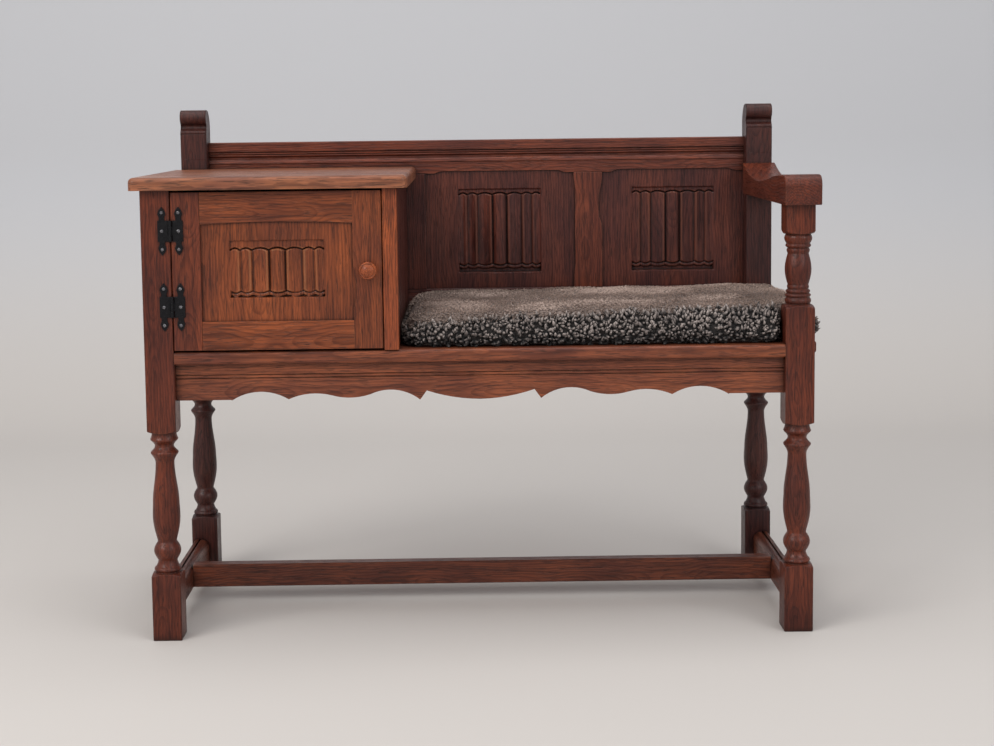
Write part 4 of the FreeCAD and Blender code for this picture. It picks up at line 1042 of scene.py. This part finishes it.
def woolMaterial(name, finish, gapShade):
    # wool that is pale at its tips, with painted shade making it dark where it grows from the skin and in the
    # gaps between locks
    look = woolLook
    colours = {key: paint(*value) for key, value in woolFinishes[finish].items()}
    material, tree, shader, where = newMaterial(name)
    patch, single, fibre = (ramp(noiseOf(where, *look[kind]), *look[kind + "Range"])
                            for kind in ("patch", "single", "fibre"))
    dim = plus(times(patch, look["patchShare"]), times(single, look["singleShare"]))
    colour = mixColours(dim, colours["pale"], colours["shade"])
    # painted shade: darker towards each lock's root
    tip = ramp(attributeOf(tree, "tip"), *look["tipRange"])
    colour = mixColours(tip, colours["root"], colour)
    # painted shade in the gaps between locks
    hollowShade = placeGroup(tree, hollowShadeMask, Place=where, Reach=look["gapReach"])
    colour = mixColours(times(hollowShade["Mask"], gapShade), colour, colours["root"])
    thread = shade(colours["shade"], look["fibreShade"])
    colour = mixColours(times(fibre, look["fibreShare"]), colour, thread)
    feed(shader.inputs["Base Color"], colour)
    feed(shader.inputs["Roughness"], ramp(fibre, 0.0, 1.0, *look["rough"]))
    relief = less(times(fibre, look["fibreRelief"]), single)
    addBump(shader, *look["bump"], relief)
    setInputs(shader, look["shader"])
    return material


def scatter(pad, count, source, keep):
    # points spread evenly over the pad's skin, with their normals
    mesh = pad.data
    mesh.calc_loop_triangles()
    faces = []
    total = 0.0
    for triangle in mesh.loop_triangles:
        corners = [mesh.vertices[i].co for i in triangle.vertices]
        middle = (corners[0] + corners[1] + corners[2]) / 3
        if keep(middle, triangle.normal):
            total += triangle.area
            faces.append((total, corners, triangle.normal.copy()))
    found = []
    index = 0
    gap = total / count
    for k in range(count):
        target = (k + source.random()) * gap
        while index < len(faces) - 1 and faces[index][0] < target:
            index += 1
        _, corners, normal = faces[index]
        a, b = source.random(), source.random()
        if a + b > 1:
            a, b = 1 - a, 1 - b
        found.append((corners[0] + (corners[1] - corners[0]) * a + (corners[2] - corners[0]) * b, normal))
    return found


lockSettings = {
    "belly": (0.7, 0.75, -1.15),  # width along a lock, as a + b t + c t²
    "end": 0.12,
    "twist": 0.5,
    "rootLean": 0.16, "lean": 0.05,
}
bandSettings = {  # mm up the pad's front
    "left": 38, "rises": ((18, 0.05, 0.55), (8, 0.6, 0.9)), "waves": ((11, 9, 3), (6, 34, 8)),
}


def lock(vertices, faces, tips, root, out, lean, length, width, curl, source, sides, rows):
    # one lock of wool: a tapering tube that leaves the skin, leans over and curls at its tip
    side = out.cross(lean)
    if side.length < 0.1:
        side = out.orthogonal()
    side.normalize()
    point = root.copy()
    direction = out.copy()
    twist = source.uniform(-lockSettings["twist"], lockSettings["twist"]) / rows
    belly, first = lockSettings["belly"], len(vertices)
    for k in range(rows + 1):
        t = k / rows
        radius = width * (belly[0] + belly[1] * t + belly[2] * t * t if k < rows else lockSettings["end"])
        u = direction.orthogonal().normalized()
        v = direction.cross(u)
        for n in range(sides):
            angle = math.tau * n / sides + t
            vertices.append(point + u * (radius * math.cos(angle)) + v * (radius * math.sin(angle)))
            tips.append(t)
        point = point + direction * (length / rows)
        direction = Matrix.Rotation(-curl / rows, 3, side) @ direction
        pull = lockSettings["rootLean"] if k < 2 else lockSettings["lean"]
        direction = (Matrix.Rotation(twist, 3, "Z") @ direction + lean * pull).normalized()
    for k in range(rows):
        for n in range(sides):
            a = first + k * sides + n
            b = first + k * sides + (n + 1) % sides
            faces.append((a, b, b + sides, a + sides))
    faces.append(tuple(range(first + rows * sides, first + (rows + 1) * sides)))
    faces.append(tuple(reversed(range(first, first + sides))))


def aroundFront(place):
    # the way up the pad's front and on over its top, metres
    over = place.y - fromBench(0, padSettings["front"] + 8, 0).y
    return place.z - padSettings["bottom"] / 1000 + max(0.0, over)


def bandEdge(place):
    # the ragged line where the brushed top gives way to the front's curls, lower at the left
    left, right = padSettings["left"], padSettings["right"]
    across = (place.x - fromBench(left, 0, 0).x) * 1000 / (right - left)
    line = bandSettings["left"]
    line += sum(rise * step(across, low, high) for rise, low, high in bandSettings["rises"])
    line += sum(height * noiseAt(place.x * pace, seed, 0) for height, pace, seed in bandSettings["waves"])
    return line / 1000


def offTheSeat(place):
    return place.z > padSettings["woolFrom"] / 1000


def keepFront(place, normal):
    return aroundFront(place) < bandEdge(place) + 0.004 and normal.y < 0.35 and offTheSeat(place)


def keepTop(place, normal):
    return aroundFront(place) >= bandEdge(place) - 0.003 and normal.z > 0.25


def keepRim(place, normal):
    return aroundFront(place) >= bandEdge(place) and -0.5 < normal.z <= 0.25 and offTheSeat(place)


woolKinds = {
    "sheepskin_front_curls": {
        "keep": keepFront, "finish": "curls", "gapShade": 0.95, "count": 1350, "length": (0.009, 0.016),
        "width": (0.0022, 0.0040), "curl": 2.0, "wild": 0.8, "sides": 6, "rows": 5},
    "sheepskin_top_tufts": {
        "keep": keepTop, "finish": "top", "gapShade": 0.2, "count": 15000, "length": (0.006, 0.010),
        "width": (0.0010, 0.0016), "curl": 0.8, "wild": 0.3, "sides": 3, "rows": 3},
    "sheepskin_rim_tufts": {
        "keep": keepRim, "finish": "rim", "gapShade": 0.6, "count": 2600, "length": (0.008, 0.013),
        "width": (0.0010, 0.0016), "curl": 1.2, "wild": 0.5, "sides": 4, "rows": 3},
}


def growWool(pad, name, kind, source):
    corner = fromBench(*padSettings["post"], 0)
    rear = fromBench(*padSettings["rearPost"], 0)
    wall = fromBench(padSettings["wall"], 0, 0).x
    vertices, faces, tips = [], [], []
    for place, normal in scatter(pad, kind["count"], source, kind["keep"]):
        wild = Vector((source.uniform(-1, 1), source.uniform(-1, 1), source.uniform(-1, 1)))
        out = (normal + wild * kind["wild"]).normalized()
        if name == "sheepskin_top_tufts":
            swirl = noiseAt(place.x * 6, place.y * 6, 2) * 2.2
            lean = Vector((math.sin(swirl), -math.cos(swirl), 0.0))
            out = (out * 0.34 + lean).normalized()
        elif name == "sheepskin_front_curls":
            lean = Vector((source.uniform(-0.7, 0.7), -0.4, -0.8)).normalized()
        else:
            lean = (normal * 0.3 + Vector((0, 0, -0.9))).normalized()
        length, width = source.uniform(*kind["length"]), source.uniform(*kind["width"])
        if place.x > corner.x - 0.012 and place.y < corner.y + 0.012:
            length, width = length * 0.45, width * 0.8
        lock(vertices, faces, tips, place - normal * 0.001, out, lean, length, width,
             source.uniform(0.5, 1.0) * kind["curl"], source, kind["sides"], kind["rows"])
    # no lock goes into the seat, the cupboard's side, the rear post or the front post
    cleared = []
    for v in vertices:
        v = v.copy()
        v.z = max(v.z, padSettings["bottom"] / 1000 + 0.0002)
        v.x = max(v.x, wall)
        if v.y < corner.y and corner.x < v.x < corner.x + 0.05:
            if corner.y - v.y < v.x - corner.x:
                v.y = corner.y
            else:
                v.x = corner.x
        if v.x > rear.x:
            v.y = min(v.y, rear.y)
        cleared.append(v)
    if name == "sheepskin_front_curls":
        # painted shade: the curls are darkest low down, where they meet the seat
        tips = [t * (0.45 + 0.55 * step(v.z, 0.486, 0.512)) for t, v in zip(tips, cleared)]
    material = woolMaterial(name, kind["finish"], kind["gapShade"])
    wool = newPiece(name, cleared, faces, material, "settle", 180.0)
    setValues(wool.data, "tip", tips)


pad = padCore(padSettings)
swell(pad, padSettings)
for polygon in pad.data.polygons:
    polygon.use_smooth = True
dress(pad, woolMaterial("sheepskin_skin", "skin", 0.3))
# painted shade: the skin under the front curls takes nearly the root colour, the shade between the curls
setValues(pad.data, "tip", [0.1 if keepFront(v.co, v.normal) else 0.6 for v in pad.data.vertices])
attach(pad, "settle")
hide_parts("seat_pad")
woolSource = random.Random(7)
for name, kind in woolKinds.items():
    growWool(pad, name, kind, woolSource)
print("sheepskin made")


# floor, backdrop and light
studioSettings = {
    "floor": (203, 197, 192), "wall": (198, 198, 201),
    "wallColourFrom": 0.7,  # height in metres
    "floorFront": -7.0, "wallStart": 1.5, "curve": 0.8, "wallTop": 6.0, "side": 8.0,  # metres
    "steps": 16,
    "shader": {"Roughness": 0.75, "Specular IOR Level": 0.2},
    "worldColour": (0.96, 0.98, 1.0, 1.0), "world": 0.62,
}
lamps = {  # place, aim, size, power and colour
    "window_left": ((-2.6, -2.6, 2.6), (0.0, 0.0, 0.5), (2.2, 1.8), 70.0, (1.0, 0.98, 0.95)),
    "window_right": ((2.4, -3.0, 2.2), (0.1, 0.0, 0.5), (2.0, 1.6), 34.0, (0.97, 0.98, 1.0)),
    "ceiling": ((0.0, -0.4, 3.2), (0.0, 0.0, 0.0), (3.0, 2.4), 40.0, (1.0, 1.0, 1.0)),
}


def studioMaterial(settings):
    material, tree, shader, where = newMaterial("studio_sweep")
    rise = ramp(splitAxes(where)[2], 0.0, settings["wallColourFrom"])
    colour = mixColours(rise, paint(*settings["floor"]), paint(*settings["wall"]))
    feed(shader.inputs["Base Color"], colour)
    setInputs(shader, settings["shader"])
    # a camera behind the wall or under the floor looks through it
    outside = times(tree.nodes.new("ShaderNodeNewGeometry").outputs["Backfacing"],
                    tree.nodes.new("ShaderNodeLightPath").outputs["Is Camera Ray"])
    mixed = tree.nodes.new("ShaderNodeMixShader")
    clear = tree.nodes.new("ShaderNodeBsdfTransparent").outputs["BSDF"]
    for index, value in enumerate((outside, shader.outputs["BSDF"], clear)):
        feed(mixed.inputs[index], value)
    feed(tree.nodes["Material Output"].inputs["Surface"], mixed.outputs["Shader"])
    return material


def makeStudio(settings):
    start, curve, steps = settings["wallStart"], settings["curve"], settings["steps"]
    line = [(settings["floorFront"], 0.0), (start, 0.0)]
    line += [(start + curve * math.sin(a), curve - curve * math.cos(a))
             for a in (math.pi / 2 * k / steps for k in range(1, steps + 1))]
    line.append((start + curve, settings["wallTop"]))
    vertices = [(x, y, z) for y, z in line for x in (-settings["side"], settings["side"])]
    faces = [(2 * k, 2 * k + 1, 2 * k + 3, 2 * k + 2) for k in range(len(line) - 1)]
    mesh = bpy.data.meshes.new("studio_sweep")
    mesh.from_pydata(vertices, [], faces)
    for polygon in mesh.polygons:
        polygon.use_smooth = True
    sweep = addObject("studio_sweep", mesh)
    mesh.materials.append(studioMaterial(settings))
    world = bpy.data.worlds.new("studio_world")
    world.use_nodes = True
    feed(world.node_tree.nodes["Background"].inputs[0], settings["worldColour"])
    feed(world.node_tree.nodes["Background"].inputs[1], settings["world"])
    bpy.context.scene.world = world


def addLamp(name, place, aim, size, power, colour):
    lamp = bpy.data.lights.new(name, "AREA")
    lamp.shape = "RECTANGLE"
    lamp.size, lamp.size_y = size
    lamp.energy = power
    lamp.color = colour
    holder = addObject(name, lamp)
    holder.location = place
    holder.rotation_euler = (Vector(aim) - Vector(place)).to_track_quat("-Z", "Y").to_euler()


makeStudio(studioSettings)
for name, lamp in lamps.items():
    addLamp(name, *lamp)
print("studio lit")
